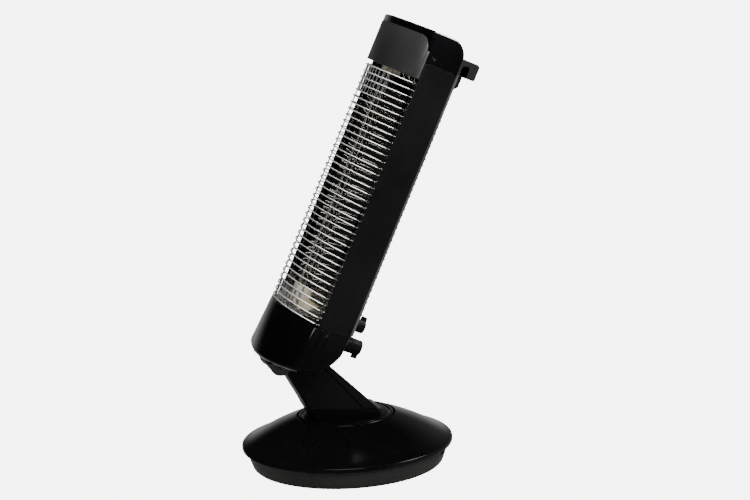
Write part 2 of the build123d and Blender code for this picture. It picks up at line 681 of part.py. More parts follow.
# ---------------------------------------------------------------- head: outlines
def front_radius():
    return (HALF_WIDTH ** 2 + FRONT_SAG ** 2) / (2 * FRONT_SAG)


def front_depth(x):
    """How far the front's arc stands forward of the panels at x."""
    radius = front_radius()
    return FRONT_LEAD + FRONT_SAG - radius + sqrt(radius ** 2 - x ** 2)


def front_plan(inset, rear):
    """Closed plan outline: straight sides, rear edge at y = rear, front bulging to -Y."""
    half = HALF_WIDTH - inset
    lead = -front_depth(half) + inset
    nose = -front_depth(0) + inset
    return make_face([
        ThreePointArc((-half, lead), (0, nose), (half, lead)),
        Polyline((half, lead), (half, rear), (-half, rear), (-half, lead)),
    ])


def front_band(outset, thickness, back):
    """Plan outline of a bent sheet or wire along the front, with its ends turned back."""
    outer = front_plan(-outset, back)
    inner = front_plan(thickness - outset, back)
    return outer - inner


def underside(y):
    """The head's own z of its flat underside, which is level when the head leans."""
    return (y * sin(radians(LEAN)) - HEAD_RISE) / cos(radians(LEAN))


def cap_side_outline(inset, top):
    """Side outline of the bottom cap: level underside, round nose and round heel."""
    rear = PANEL_DEPTH - inset
    nose = -front_depth(0) + inset
    drop = inset / cos(radians(LEAN))
    corner_rear = (rear, underside(rear) + drop)
    corner_nose = (nose, underside(nose) + drop)
    outline = make_face(Polyline((nose, top), corner_nose, corner_rear, (rear, top), close=True))
    heel = outline.vertices().sort_by_distance((*corner_rear, 0))[0]
    outline = fillet(heel, CAP_REAR_ROUND - inset)
    tip = outline.vertices().sort_by_distance((*corner_nose, 0))[0]
    return fillet(tip, CAP_NOSE_ROUND - inset)


def side_extrude(face, half_width):
    return extrude(Plane.YZ * face, half_width, both=True)


def bottom_cap():
    depth = 90
    outer = Pos(0, 0, -depth) * extrude(front_plan(0, PANEL_DEPTH), depth)
    outer &= side_extrude(cap_side_outline(0, 0), HALF_WIDTH + 5)
    outer = chamfer(bottom_edges(outer), CAP_EDGE)
    inner = Pos(0, 0, -depth) * extrude(front_plan(SHELL, PANEL_DEPTH - SHELL), depth + 5)
    inner &= side_extrude(cap_side_outline(SHELL, 5), HALF_WIDTH + 5)
    cap = outer - inner
    cap -= side_screw_recesses(SIDE_SCREW_LOW)
    slot_half = EAR_RADIUS + RUN_GAP
    slot_side = NECK_HALF_WIDTH + WASHER_THICKNESS + SEAT_GAP
    slot = block(
        (-slot_side, slot_side), (PIVOT_Y - slot_half, PIVOT_Y + slot_half + 4),
        (UNDERSIDE - 5, UNDERSIDE + SHELL + 6))
    cap -= HEAD.inverse() * slot
    for x, y in bracket_screw_places():
        cap -= HEAD.inverse() * hex_up(BASE_SCREW_RADIUS + BOLT_GAP, UNDERSIDE - 3, UNDERSIDE + 9, x, y)
    for s, half in ((HEAT_KNOB_S, SWITCH_HALF), (TIMER_KNOB_S, TIMER_HALF)):
        cap -= block((-half - 1, half + 1), (PANEL_DEPTH - 25, PANEL_DEPTH + 5), (s - half - 1, s + half + 1))
    return cap


def bottom_edges(shape):
    """Edges round the cap's underside and up its heel, on the two sides."""
    def low_side(edge):
        middle = edge.center()
        on_side = abs(abs(middle.X) - HALF_WIDTH) < 0.5 and edge.length > 3
        return on_side and middle.Z < -1 and middle.Y > -front_depth(HALF_WIDTH) + 1
    return shape.edges().filter_by(low_side)


def side_screw_recesses(place):
    """Holes and shallow recesses for a pair of side screws."""
    y, z = place
    cut = hex_across(SCREW_RADIUS + BOLT_GAP, -HALF_WIDTH - 1, HALF_WIDTH + 1, y, z)
    for side in (-1, 1):
        outer = side * (HALF_WIDTH + 1)
        inner = side * (HALF_WIDTH - RECESS_DEPTH)
        cut += flats_across(RECESS_RADIUS, min(outer, inner), max(outer, inner), y, z)
    return cut


def side_panel(side):
    """Bent sheet: flat side, front and rear edges turned in."""
    low = SEAM
    high = PANEL_TOP - SEAM
    outer = HALF_WIDTH
    inner = HALF_WIDTH - PANEL_SHEET
    turned_in = HALF_WIDTH - PANEL_FLANGE
    outline = make_face(Polyline(
        (outer, 0), (outer, PANEL_DEPTH - PANEL_EDGE), (outer - PANEL_EDGE, PANEL_DEPTH),
        (turned_in, PANEL_DEPTH), (turned_in, PANEL_DEPTH - PANEL_SHEET),
        (inner, PANEL_DEPTH - PANEL_SHEET), (inner, PANEL_SHEET),
        (turned_in, PANEL_SHEET), (turned_in, 0), close=True))
    panel = Pos(0, 0, low) * extrude(outline, high - low)
    return panel if side > 0 else mirror(panel, about=Plane.YZ)


def top_side_outline(inset, low):
    rear = PANEL_DEPTH - inset
    nose = -front_depth(0) + inset
    top = HEAD_TOP - inset
    outline = make_face(Polyline((nose, low), (nose, top), (rear, top), (rear, low), close=True))
    corner = outline.vertices().sort_by_distance((rear, top, 0))[0]
    return fillet(corner, TOP_REAR_ROUND - inset)


def top_cap():
    height = HEAD_TOP - PANEL_TOP
    back_off = VISOR_SHEET - VISOR_PROUD + SEAT_GAP
    visor_edge = VISOR_END + SEAT_GAP
    front_cut = front_plan(-5, visor_edge) - front_plan(back_off, visor_edge)
    outer = Pos(0, 0, PANEL_TOP) * extrude(front_plan(0, PANEL_DEPTH), height)
    outer &= side_extrude(top_side_outline(0, PANEL_TOP), HALF_WIDTH + 5)
    outer -= Pos(0, 0, PANEL_TOP) * extrude(front_cut, VISOR_HIGH + SEAT_GAP - PANEL_TOP)
    outer = chamfer(top_edges(outer), TOP_EDGE)
    inner_plan = front_plan(SHELL, PANEL_DEPTH - SHELL - back_off)
    inner = Pos(0, back_off, PANEL_TOP - 5) * extrude(inner_plan, height + 5)
    inner &= side_extrude(top_side_outline(SHELL, PANEL_TOP - 5), HALF_WIDTH + 5)
    cap = outer - inner
    return cap - side_screw_recesses(SIDE_SCREW_HIGH)


def top_edges(shape):
    """Edges of the top face and of the round rear corner, on the two sides."""
    def high_side(edge):
        middle = edge.center()
        on_side = abs(abs(middle.X) - HALF_WIDTH) < 0.5 and edge.length > 15
        return on_side and middle.Z > HEAD_TOP - TOP_REAR_ROUND + 1
    return shape.edges().filter_by(high_side)


def visor():
    sheet = front_band(VISOR_PROUD, VISOR_SHEET, VISOR_END)
    height = VISOR_HIGH - VISOR_LOW
    band = Pos(0, 0, VISOR_LOW) * extrude(sheet, height)
    half = HALF_WIDTH + VISOR_PROUD
    corner = VISOR_ROUND
    outline = make_face([
        Polyline((-half, VISOR_HIGH - corner), (-half, VISOR_LOW), (half, VISOR_LOW), (half, VISOR_HIGH - corner)),
        CenterArc((half - corner, VISOR_HIGH - corner), corner, 0, 90),
        Line((half - corner, VISOR_HIGH), (-half + corner, VISOR_HIGH)),
        CenterArc((-half + corner, VISOR_HIGH - corner), corner, 90, 90),
    ])
    return band & extrude(Plane.XZ * outline, 2 * (FRONT_LEAD + FRONT_SAG), both=True)


def rear_plan(inset):
    """Plan outline of the folded rear sheet."""
    shift = inset
    edge = HALF_WIDTH - PANEL_FLANGE + 5
    return [
        (edge, PANEL_DEPTH - shift), (REAR_FLAT_HALF, REAR_FLAT_DEPTH - shift),
        (-REAR_FLAT_HALF, REAR_FLAT_DEPTH - shift), (-edge, PANEL_DEPTH - shift),
    ]


def rear_cover():
    """Folded sheet with closed slanting ends and a ladder of lipped louvres."""
    gap = SEAT_GAP
    outer = [(x, y + gap) for x, y in rear_plan(0)]
    inner = [
        (x * (1 - 0.035), y + gap - REAR_SHEET) for x, y in rear_plan(0)
    ]
    inner[0] = (inner[0][0], PANEL_DEPTH + gap)
    inner[-1] = (inner[-1][0], PANEL_DEPTH + gap)
    height = REAR_HIGH - REAR_LOW
    cover = Pos(0, 0, REAR_LOW) * extrude(make_face(Polyline(*outer, close=True)), height)
    hollow = Pos(0, 0, REAR_LOW + REAR_SHEET) * extrude(
        make_face(Polyline(*inner, close=True)), height - 2 * REAR_SHEET)
    cover -= hollow
    for step in range(LOUVRE_COUNT):
        low = LOUVRE_FIRST + step * LOUVRE_PITCH
        cover += louvre_lip(low)
        cover -= block(
            (-LOUVRE_HALF_WIDTH, LOUVRE_HALF_WIDTH),
            (REAR_FLAT_DEPTH - 3, REAR_FLAT_DEPTH + gap + 0.6), (low, low + LOUVRE_SLOT))
    for x in handle_screw_places():
        cover -= hex_back(SCREW_RADIUS + BOLT_GAP, PANEL_DEPTH + 5, REAR_FLAT_DEPTH + 5, x, REAR_HIGH - 6)
    opening_low = CONTROL_LOW - 1
    cover -= block(
        (-CONTROL_HALF + 3, CONTROL_HALF - 3), (PANEL_DEPTH - 1, REAR_FLAT_DEPTH + 5),
        (opening_low, CONTROL_HIGH - 3))
    return cover


def louvre_lip(low):
    """A hood over one slot, standing out of the rear face and open below."""
    face_y = REAR_FLAT_DEPTH + SEAT_GAP
    high = low + LOUVRE_SLOT
    profile = [(face_y - 0.5, high + 2.2), (face_y + LOUVRE_LIP, high - 0.6), (face_y + LOUVRE_LIP, high - 1.4),
               (face_y - 0.5, high + 0.4)]
    return side_profile(profile, LOUVRE_HALF_WIDTH + 1)


def control_box():
    """Moulded housing of the two controls, open towards the head."""
    base = REAR_FLAT_DEPTH + SEAT_GAP
    outline = [
        (base, CONTROL_HIGH), (CONTROL_DEPTH, CONTROL_HIGH), (CONTROL_DEPTH, CONTROL_LOW),
        (PANEL_DEPTH - 4, CONTROL_LOW), (PANEL_DEPTH + 0.3, CONTROL_LOW + 14),
        (PANEL_DEPTH + 0.3, REAR_LOW - SEAT_GAP), (base, REAR_LOW - SEAT_GAP),
    ]
    box = side_profile(outline, CONTROL_HALF)
    box = chamfer(box.faces().sort_by(Axis.Y)[-1].edges(), 1.5)
    hollow = side_profile([
        (CONTROL_DEPTH - CONTROL_WALL, CONTROL_HIGH - CONTROL_WALL),
        (CONTROL_DEPTH - CONTROL_WALL, CONTROL_LOW + CONTROL_WALL),
        (PANEL_DEPTH - 3, CONTROL_LOW + CONTROL_WALL), (PANEL_DEPTH + 3, CONTROL_LOW + 14),
        (PANEL_DEPTH - 5, CONTROL_LOW + 15), (PANEL_DEPTH - 5, CONTROL_HIGH - CONTROL_WALL),
    ], CONTROL_HALF - CONTROL_WALL)
    box -= hollow
    for s in (HEAT_KNOB_S, TIMER_KNOB_S):
        box -= flats_back(SHAFT_RADIUS + RUN_GAP, 30, 90, 0, s)
    return box


# ---------------------------------------------------------------- head: wire guard
def wire_heights():
    return [WIRE_LOWEST + WIRE_PITCH * step for step in range(WIRE_COUNT)]


def bow_points(inset):
    """The front's bow in plan as straight runs between points on its arc, ends turned back."""
    half = HALF_WIDTH - inset
    steps = [-1 + 2 * step / WIRE_RUNS for step in range(WIRE_RUNS + 1)]
    bow = [(half * step, inset - front_depth(half * step)) for step in steps]
    return [(-half, -SEAT_GAP), *bow, (half, -SEAT_GAP)]


def cross_wire(z):
    """One wire bowed over the front, its two ends turned back to the panels' edges."""
    outline = make_face(Polyline(*bow_points(0), *reversed(bow_points(WIRE_SIZE)), close=True))
    return Pos(0, 0, z - WIRE_SIZE / 2) * extrude(outline, WIRE_SIZE)


def stay(x, low, high):
    """A straight wire welded behind the cross wires, square to the run that it crosses."""
    bow = bow_points(WIRE_SIZE)
    near = max(point for point in bow[1:-1] if point[0] <= abs(x))
    far = min(point for point in bow[1:-1] if point[0] > abs(x))
    slope = (far[1] - near[1]) / (far[0] - near[0])
    depth = near[1] + slope * (abs(x) - near[0]) + WELD_GAP
    bar = block((-STAY_SIZE / 2, STAY_SIZE / 2), (0, STAY_SIZE), (low, high))
    lean = degrees(atan2(slope, 1)) if x > 0 else -degrees(atan2(slope, 1))
    return Pos(x, depth, 0) * Rot(0, 0, lean if x else 0) * bar


def edge_stay(side, low, high):
    """The wire along one edge of the guard, inside the cross wires' turned-back ends."""
    outer = side * (HALF_WIDTH - WIRE_SIZE - WELD_GAP)
    inner = outer - side * STAY_SIZE
    rear = EDGE_STAY_REAR
    return block((min(outer, inner), max(outer, inner)), (rear - STAY_SIZE, rear), (low, high))


def guard():
    """Cross wires, long stays, edge stays and the short stubs near the two ends."""
    heights = wire_heights()
    low = heights[0] - STAY_END
    high = heights[-1] + STAY_END
    pieces = [cross_wire(z) for z in heights]
    for side in (-1, 1):
        pieces.append(stay(side * STAY_X, low, high))
        pieces.append(edge_stay(side, low, high))
    stub_count = int(STAY_X // STUB_SPACING)
    for step in range(-stub_count, stub_count + 1):
        x = step * STUB_SPACING
        pieces.append(stay(x, low, heights[STUB_ROWS_LOW]))
        pieces.append(stay(x, heights[-STUB_ROWS_HIGH], high))
    return pieces


# ---------------------------------------------------------------- head: lamp and reflector
def reflector_points(offset):
    """Half of the trough's folds in plan, from the front edge to the middle."""
    return [
        (REFLECTOR_HALF - offset, REFLECTOR_FRONT),
        (REFLECTOR_HALF * 0.76 - offset * 0.6, 13.0 - offset),
        (REFLECTOR_HALF * 0.45 - offset * 0.4, 24.0 - offset),
        (REFLECTOR_HALF * 0.15, REFLECTOR_DEEP - offset),
    ]


def trough(offset):
    right = reflector_points(offset)
    left = [(-x, y) for x, y in reversed(right)]
    return right + left


def reflector():
    outer = trough(0)
    inner = list(reversed(trough(REFLECTOR_SHEET)))
    sheet = make_face(Polyline(*(outer + inner), close=True))
    return Pos(0, 0, REFLECTOR_LOW) * extrude(sheet, REFLECTOR_HIGH - REFLECTOR_LOW)


def end_flap(upper):
    """A flat polished flap that slants from the trough's end towards the front."""
    sheet = REFLECTOR_SHEET
    back = REFLECTOR_DEEP - REFLECTOR_SHEET - 1.5
    front = REFLECTOR_FRONT - 1.0
    near = REFLECTOR_LOW - SEAT_GAP
    far = near - FLAP_REACH
    profile = [(back, near), (front, far), (front, far - sheet), (back, near - sheet)]
    flap = side_profile(profile, REFLECTOR_HALF - FLAP_INSET)
    half = HOLDER_RADIUS + RUN_GAP
    flap -= block((-half, half), (TUBE_DEPTH - half, TUBE_DEPTH + half), (far - half, near + half))
    ahead = FLAP_INSET - REFLECTOR_DEEP
    side_cut = make_face(Polyline(
        *trough(-REFLECTOR_SHEET / 2), (-HALF_WIDTH, ahead), (HALF_WIDTH, ahead), close=True))
    flap &= Pos(0, 0, far - half) * extrude(side_cut, FLAP_REACH + 2 * half)
    if upper:
        flap = mirror(flap, about=Plane.XY.offset((REFLECTOR_LOW + REFLECTOR_HIGH) / 2))
    return flap


def quartz_tube():
    tube = cylinder_up(TUBE_RADIUS, TUBE_LOW - HOLDER_GRIP, TUBE_HIGH + HOLDER_GRIP, 0, TUBE_DEPTH)
    bore = (TUBE_LOW - HOLDER_LENGTH, TUBE_HIGH + HOLDER_LENGTH)
    return tube - cylinder_up(TUBE_RADIUS - TUBE_WALL, *bore, 0, TUBE_DEPTH)


def heating_element():
    return cylinder_up(
        FILAMENT_RADIUS, TUBE_LOW - HOLDER_GRIP - FILAMENT_STUB, TUBE_HIGH + HOLDER_GRIP + FILAMENT_STUB,
        0, TUBE_DEPTH)


def ceramic_holders():
    """Square ceramic blocks that the tube's two ends stand in."""
    holders = []
    for end, way in ((TUBE_LOW, -1), (TUBE_HIGH, 1)):
        far = end + way * HOLDER_LENGTH
        grip = end + way * (HOLDER_GRIP + FILAMENT_STUB + TUBE_GAP)
        half = HOLDER_RADIUS
        body = block((-half, half), (TUBE_DEPTH - half, TUBE_DEPTH + half), (min(end, far), max(end, far)))
        mouth = end - way
        body -= flats_up(TUBE_RADIUS + TUBE_GAP, min(mouth, grip), max(mouth, grip), 0, TUBE_DEPTH)
        holders.append(body)
    return holders


def tube_brackets():
    """Two shelves across the rails that carry the ceramic holders."""
    shelves = []
    for place in (TUBE_LOW - HOLDER_LENGTH - RAIL_SHEET, TUBE_HIGH + HOLDER_LENGTH):
        ends = (place, place + RAIL_SHEET)
        shelf = block((-RAIL_X + RAIL_WIDTH, RAIL_X - RAIL_WIDTH), (REFLECTOR_FRONT, SHIELD_DEPTH - SEAT_GAP), ends)
        shelves.append(shelf + block((-16, 16), (TUBE_DEPTH - 11, REFLECTOR_FRONT + 1), ends))
    return shelves


def heat_shield():
    low = TUBE_LOW - HOLDER_LENGTH - RAIL_SHEET
    high = TUBE_HIGH + HOLDER_LENGTH + RAIL_SHEET
    return block((-RAIL_X, RAIL_X), (SHIELD_DEPTH, SHIELD_DEPTH + SHIELD_SHEET), (low, high))


def chassis_rails():
    """Angle rails inside the side panels, from cap to cap."""
    rails = []
    for side in (-1, 1):
        outer = HALF_WIDTH - SHELL - SEAT_GAP
        web = block((outer - RAIL_SHEET, outer), (4.0, SHIELD_DEPTH + 3), (RAIL_LOW, RAIL_HIGH))
        foot = block((RAIL_X - RAIL_WIDTH, outer - RAIL_SHEET / 2), (SHIELD_DEPTH + SHIELD_SHEET, SHIELD_DEPTH + 3),
                     (RAIL_LOW + 8, RAIL_HIGH))
        rail = web + foot
        for y, z in (SIDE_SCREW_LOW, SIDE_SCREW_HIGH):
            rail -= hex_across(SCREW_RADIUS + BOLT_GAP, outer - RAIL_WIDTH, outer + 1, y, z)
        rails.append(rail if side > 0 else mirror(rail, about=Plane.YZ))
    return rails


# ---------------------------------------------------------------- head: handle and screws
def handle():
    root = REAR_FLAT_DEPTH + SEAT_GAP
    outline = make_face(Polyline(
        (root, HANDLE_BOTTOM), (root, HANDLE_TOP), (HANDLE_OUTER_DEPTH, HANDLE_TOP),
        (HANDLE_OUTER_DEPTH, HANDLE_BOTTOM), (HANDLE_LIP_DEPTH, HANDLE_BOTTOM),
        (HANDLE_LIP_DEPTH, HANDLE_SLOT_TOP), (HANDLE_ROOT_DEPTH, HANDLE_SLOT_TOP),
        (HANDLE_ROOT_DEPTH, HANDLE_BOTTOM), close=True))
    corner = outline.vertices().sort_by_distance((HANDLE_OUTER_DEPTH, HANDLE_TOP, 0))[0]
    outline = fillet(corner, HANDLE_ROUND)
    grip = side_extrude(outline, HANDLE_HALF)
    grip = chamfer(grip.faces().filter_by(Axis.X).edges().filter_by(
        lambda edge: edge.center().Y > HANDLE_LIP_DEPTH + 1), 1.0)
    for x in handle_screw_places():
        grip -= hex_back(SCREW_RADIUS + BOLT_GAP, 40, root + 9, x, REAR_HIGH - 6)
    return grip


def handle_screw_places():
    return (-HANDLE_HALF + 10, HANDLE_HALF - 10)


def handle_block():
    root = REAR_FLAT_DEPTH + SEAT_GAP
    return side_profile([
        (root, HANDLE_BOTTOM - SEAT_GAP), (BLOCK_DEPTH, HANDLE_BOTTOM - SEAT_GAP),
        (BLOCK_DEPTH, BLOCK_LOW + 5), (BLOCK_DEPTH - 5, BLOCK_LOW), (root, BLOCK_LOW - 6),
    ], BLOCK_HALF)


def screw_back(x, z, start, length):
    """A screw whose head faces inwards at y = start and whose shank points rearward."""
    head = hex_back(SCREW_HEAD_RADIUS, start - SCREW_HEAD, start, x, z)
    return head + hex_back(SCREW_RADIUS, start - SCREW_HEAD, start + length, x, z)


def handle_screws():
    start = REAR_FLAT_DEPTH + SEAT_GAP - REAR_SHEET
    return [screw_back(x, REAR_HIGH - 6, start, 8) for x in handle_screw_places()]


def side_screws():
    """Screws through the caps' sides into the rails, their heads in the caps' recesses."""
    screws = []
    for y, z in (SIDE_SCREW_LOW, SIDE_SCREW_HIGH):
        for side in (-1, 1):
            outer = side * HALF_WIDTH
            seat = side * (HALF_WIDTH - RECESS_DEPTH)
            tip = side * (HALF_WIDTH - RECESS_DEPTH - 8)
            head = flats_across(SCREW_HEAD_RADIUS, min(outer, seat), max(outer, seat), y, z)
            screws.append(head + hex_across(SCREW_RADIUS, min(seat, tip), max(seat, tip), y, z))
    return screws


# ---------------------------------------------------------------- head: controls
def knob(radius, face, s, pointer_side):
    """Tapered knob with a pointer bar across its face and a bore for the shaft."""
    back = CONTROL_DEPTH + RUN_GAP + 0.7
    length = face - back
    body = extrude(RegularPolygon(radius, KNOB_FLATS), length, taper=KNOB_DRAFT)
    tip = radius + POINTER_REACH
    bar = block((-POINTER_WIDTH / 2, POINTER_WIDTH / 2), (-radius + 1, tip), (length - 7, length))
    shape = body + Rot(0, 0, 0 if pointer_side > 0 else 180) * bar
    shape -= flats_up(SHAFT_RADIUS + SEAT_GAP / 2, -1, length - 3)
    return Pos(0, back, s) * Rot(-90, 0, 0) * Rot(0, 0, 180) * shape


def control_shaft(face, s):
    start = PANEL_DEPTH + 9
    return cylinder_back(SHAFT_RADIUS, start, face - 4, 0, s)


def switch_body(half, s):
    """Control's body behind the front of its housing, with the bush that the shaft turns in."""
    front = CONTROL_DEPTH - CONTROL_WALL - SEAT_GAP
    body = block((-half, half), (front - SWITCH_DEPTH, front), (s - half, s + half))
    return body - cylinder_back(SHAFT_RADIUS + SHAFT_GAP, PANEL_DEPTH + 8.8, 90, 0, s)


def terminal_block():
    """Strip with four square wire wells, on the shield's cool side."""
    front = SHIELD_DEPTH + SHIELD_SHEET
    back = front + TERMINAL_DEPTH
    strip = block((-TERMINAL_HALF, TERMINAL_HALF), (front, back), TERMINAL_SPAN)
    middle = sum(TERMINAL_SPAN) / 2
    for step in range(4):
        x = (step - 1.5) * TERMINAL_PITCH
        strip -= block((x - TERMINAL_WELL, x + TERMINAL_WELL), (back - TERMINAL_DEPTH / 2, back + 1),
                       (middle - TERMINAL_WELL, middle + TERMINAL_WELL))
    return strip


def thermal_cutout():
    """Round cut-out on the shield's cool side."""
    front = SHIELD_DEPTH + SHIELD_SHEET
    return flats_back(CUTOUT_RADIUS, front, front + CUTOUT_DEPTH, *CUTOUT_PLACE)


def tilt_switch():
    """Sealed tip-over switch on the shield's cool side."""
    front = SHIELD_DEPTH + SHIELD_SHEET
    return block((TILT_X - TILT_HALF, TILT_X + TILT_HALF), (front, front + TILT_DEPTH), TILT_SPAN)


# ---------------------------------------------------------------- all nodes
def place_head(*solids):
    return [HEAD * solid for solid in solids]


def main():
    write("base_cover", base_cover())
    write("base_pan", base_pan())
    write("ballast_plate", ballast_plate())
    write("foot_ring", foot_ring())
    write("base_screws", *base_screws())
    write("cord_gland", cord_gland())
    write("swivel_bush", swivel_bush())
    write("turntable_disc", turntable_disc())
    write("swivel_retainer", swivel_retainer())
    write("retainer_screws", *retainer_screws())
    write("neck_screws", *neck_screws())
    write("neck_shell", neck_shell())
    write("neck_rear_cover", neck_rear_cover())
    write("friction_washers", *friction_washers())
    write("hinge_bracket", hinge_bracket())
    write("bracket_screws", *bracket_screws())
    write("hinge_pin", hinge_pin())
    write("hinge_nut", hinge_nut())
    write("bottom_cap", *place_head(bottom_cap()))
    write("side_panel_left", *place_head(side_panel(-1)))
    write("side_panel_right", *place_head(side_panel(1)))
    write("top_cap", *place_head(top_cap()))
    write("visor", *place_head(visor()))
    write("rear_cover", *place_head(rear_cover()))
    write("control_box", *place_head(control_box()))
    write("guard", *place_head(*guard()))
    write("reflector", *place_head(reflector()))
    write("reflector_lower_end", *place_head(end_flap(False)))
    write("reflector_upper_end", *place_head(end_flap(True)))
    write("quartz_tube", *place_head(quartz_tube()))
    write("heating_element", *place_head(heating_element()))
    write("ceramic_holders", *place_head(*ceramic_holders()))
    write("tube_brackets", *place_head(*tube_brackets()))
    write("heat_shield", *place_head(heat_shield()))
    write("chassis_rails", *place_head(*chassis_rails()))
    write("handle", *place_head(handle()))
    write("handle_block", *place_head(handle_block()))
    write("handle_screws", *place_head(*handle_screws()))
    write("side_screws", *place_head(*side_screws()))
    write("heat_switch", *place_head(switch_body(SWITCH_HALF, HEAT_KNOB_S)))
    write("timer", *place_head(switch_body(TIMER_HALF, TIMER_KNOB_S)))
    write("terminal_block", *place_head(terminal_block()))
    write("thermal_cutout", *place_head(thermal_cutout()))
    write("tilt_switch", *place_head(tilt_switch()))
    write("heat_knob", *place_head(knob(HEAT_KNOB_RADIUS, HEAT_KNOB_FACE, HEAT_KNOB_S, 1)))
    write("heat_shaft", *place_head(control_shaft(HEAT_KNOB_FACE, HEAT_KNOB_S)))
    write("timer_knob", *place_head(knob(TIMER_KNOB_RADIUS, TIMER_KNOB_FACE, TIMER_KNOB_S, -1)))
    write("timer_shaft", *place_head(control_shaft(TIMER_KNOB_FACE, TIMER_KNOB_S)))


main()
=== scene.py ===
"""Infrared patio heater tower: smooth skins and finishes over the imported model.

Lengths are millimetres until MM turns them into metres. Upright pieces use the model's own axes, and
pieces of the leaning head use (x across, v rearward, s up the head), which head_place turns and lowers
on to the neck.
"""
import math

import bmesh
import bpy
import numpy as np
from bpy.props import FloatProperty, FloatVectorProperty, IntProperty, PointerProperty
from bpy.types import Operator, Panel, PropertyGroup
from mathutils import Matrix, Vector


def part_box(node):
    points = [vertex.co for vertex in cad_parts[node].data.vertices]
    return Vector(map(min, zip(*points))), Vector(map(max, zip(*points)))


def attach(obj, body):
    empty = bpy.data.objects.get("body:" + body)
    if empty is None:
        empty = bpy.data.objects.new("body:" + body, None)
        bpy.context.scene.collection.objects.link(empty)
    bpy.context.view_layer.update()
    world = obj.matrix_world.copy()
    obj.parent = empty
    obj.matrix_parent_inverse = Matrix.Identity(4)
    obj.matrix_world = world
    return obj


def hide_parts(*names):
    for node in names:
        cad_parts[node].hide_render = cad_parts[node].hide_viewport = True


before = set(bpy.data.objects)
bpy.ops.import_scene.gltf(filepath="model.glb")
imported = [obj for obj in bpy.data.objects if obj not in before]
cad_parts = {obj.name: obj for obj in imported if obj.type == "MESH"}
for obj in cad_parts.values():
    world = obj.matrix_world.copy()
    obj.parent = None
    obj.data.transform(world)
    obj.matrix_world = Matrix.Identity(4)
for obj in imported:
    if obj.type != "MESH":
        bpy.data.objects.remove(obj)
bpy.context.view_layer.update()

bl_info = {
    "name": "Infrared patio heater tower",
    "version": (1, 0, 0),
    "blender": (4, 5, 0),
    "location": "View3D > Sidebar > Heater",
    "description": "Dresses a leaning wire-guarded heater tower with its skins and finishes",
    "category": "Object",
}

MM = 0.001
SAME_POINT = 2e-7       # metres: points of a skin nearer than this are one point
SAME_CAD_POINT = 2e-6   # metres: the same for a copied node's loose triangles
FLAT = math.radians(0.6)  # faces of a copied node that turn by less than this are one face

# ---------------------------------------------------------------- sizes shared by several pieces (mm)
LEAN = math.radians(25.7)
HEAD_Y = -52.3
HEAD_Z = 191.9
HALF_WIDTH = 95.0
PANEL_DEPTH = 40.5
FRONT_LEAD = 4.0
FRONT_SAG = 22.4
FRONT_RADIUS = (HALF_WIDTH ** 2 + FRONT_SAG ** 2) / (2 * FRONT_SAG)
TUBE_DEPTH = -4.0
REAR_FACE = 52.6
CONTROL_FACE = 62.0
UPRIGHT_BODIES = ("base", "neck")

# Rounds on the edges of copied nodes, in metres.
FINE_EDGE = 0.0003
BRACKET_EDGE = 0.0004
HOUSING_EDGE = 0.0006


# ---------------------------------------------------------------- settings a user would change
def length_setting(name, description, default, low, high):
    """A length in metres."""
    return FloatProperty(
        name=name, description=description, default=default, min=low, max=high, unit="LENGTH")


def colour_setting(name, description, default):
    """A base colour."""
    return FloatVectorProperty(
        name=name, description=description, subtype="COLOR", default=default, min=0, max=1)


def power_setting(name, description, default):
    """A light's power in watts."""
    return FloatProperty(name=name, description=description, default=default, min=0, unit="POWER")


def glow_setting(name, description, default, high):
    """The strength of something that glows evenly."""
    return FloatProperty(name=name, description=description, default=default, min=0, max=high)


class HeaterSizes(PropertyGroup):
    """Sizes of the details that the skins add."""
    wire_diameter: length_setting("Wire diameter", "Thickness of the guard's wires", 0.0017, 0.001, 0.003)
    edge_round: length_setting(
        "Edge round", "Round on the edges of the neck's mouldings", 0.0007, 0.0001, 0.002)
    coil_pitch: length_setting(
        "Coil pitch", "Distance between turns of the heating wire", 0.0026, 0.002, 0.006)
    knob_ribs: IntProperty(
        name="Knob ribs", description="Grip ribs round each knob", default=24, min=8, max=48)


class HeaterColours(PropertyGroup):
    """Base colours of the main finishes."""
    gloss: colour_setting("Gloss black", "Base, turntable and end caps", (0.0012, 0.0012, 0.0015))
    satin: colour_setting("Satin black", "Side panels, rear cover and neck", (0.0035, 0.0035, 0.0033))
    visor: colour_setting("Graphite", "Visor above the guard", (0.034, 0.034, 0.035))
    plastic: colour_setting(
        "Black plastic", "Control housing, knobs and the grip's block", (0.004, 0.004, 0.0045))
    grip: colour_setting("Grip", "Hooked grip at the upper rear", (0.014, 0.014, 0.0145))
    tray: colour_setting("Tray grey", "Tray under the base", (0.014, 0.0138, 0.013))
    ceramic: colour_setting("Ceramic", "Holders at the ends of the lamp", (0.88, 0.83, 0.7))


class HeaterStage(PropertyGroup):
    """Light, floor and camera."""
    key_power: power_setting("Key light", "Power of the big light on the heater's right-hand side", 70.0)
    guard_power: power_setting("Guard light", "Power of the lights that only the guard's wires get", 36.0)
    edge_power: power_setting(
        "Edge light", "Power of the light along the top cap's and the visor's edges", 320.0)
    tray_power: power_setting("Tray light", "Power of the low light on the front of the tray", 70.0)
    rim_power: power_setting("Rim light", "Power of the light high behind the heater", 14.0)
    top_power: power_setting("Top light", "Power of the small light high on the right-hand side", 10.0)
    surround: glow_setting("Surround", "Brightness of the white studio on matt surfaces", 0.3, 2)
    horizon: glow_setting(
        "Horizon", "Brightness of the far wall in the gloss at grazing angles", 0.42, 4)
    backdrop: glow_setting(
        "Backdrop", "Brightness of the floor and the wall as the camera sees them", 6.5, 30)
    lens: FloatProperty(
        name="Lens", description="Focal length", default=113.28, min=10, max=300, unit="CAMERA")


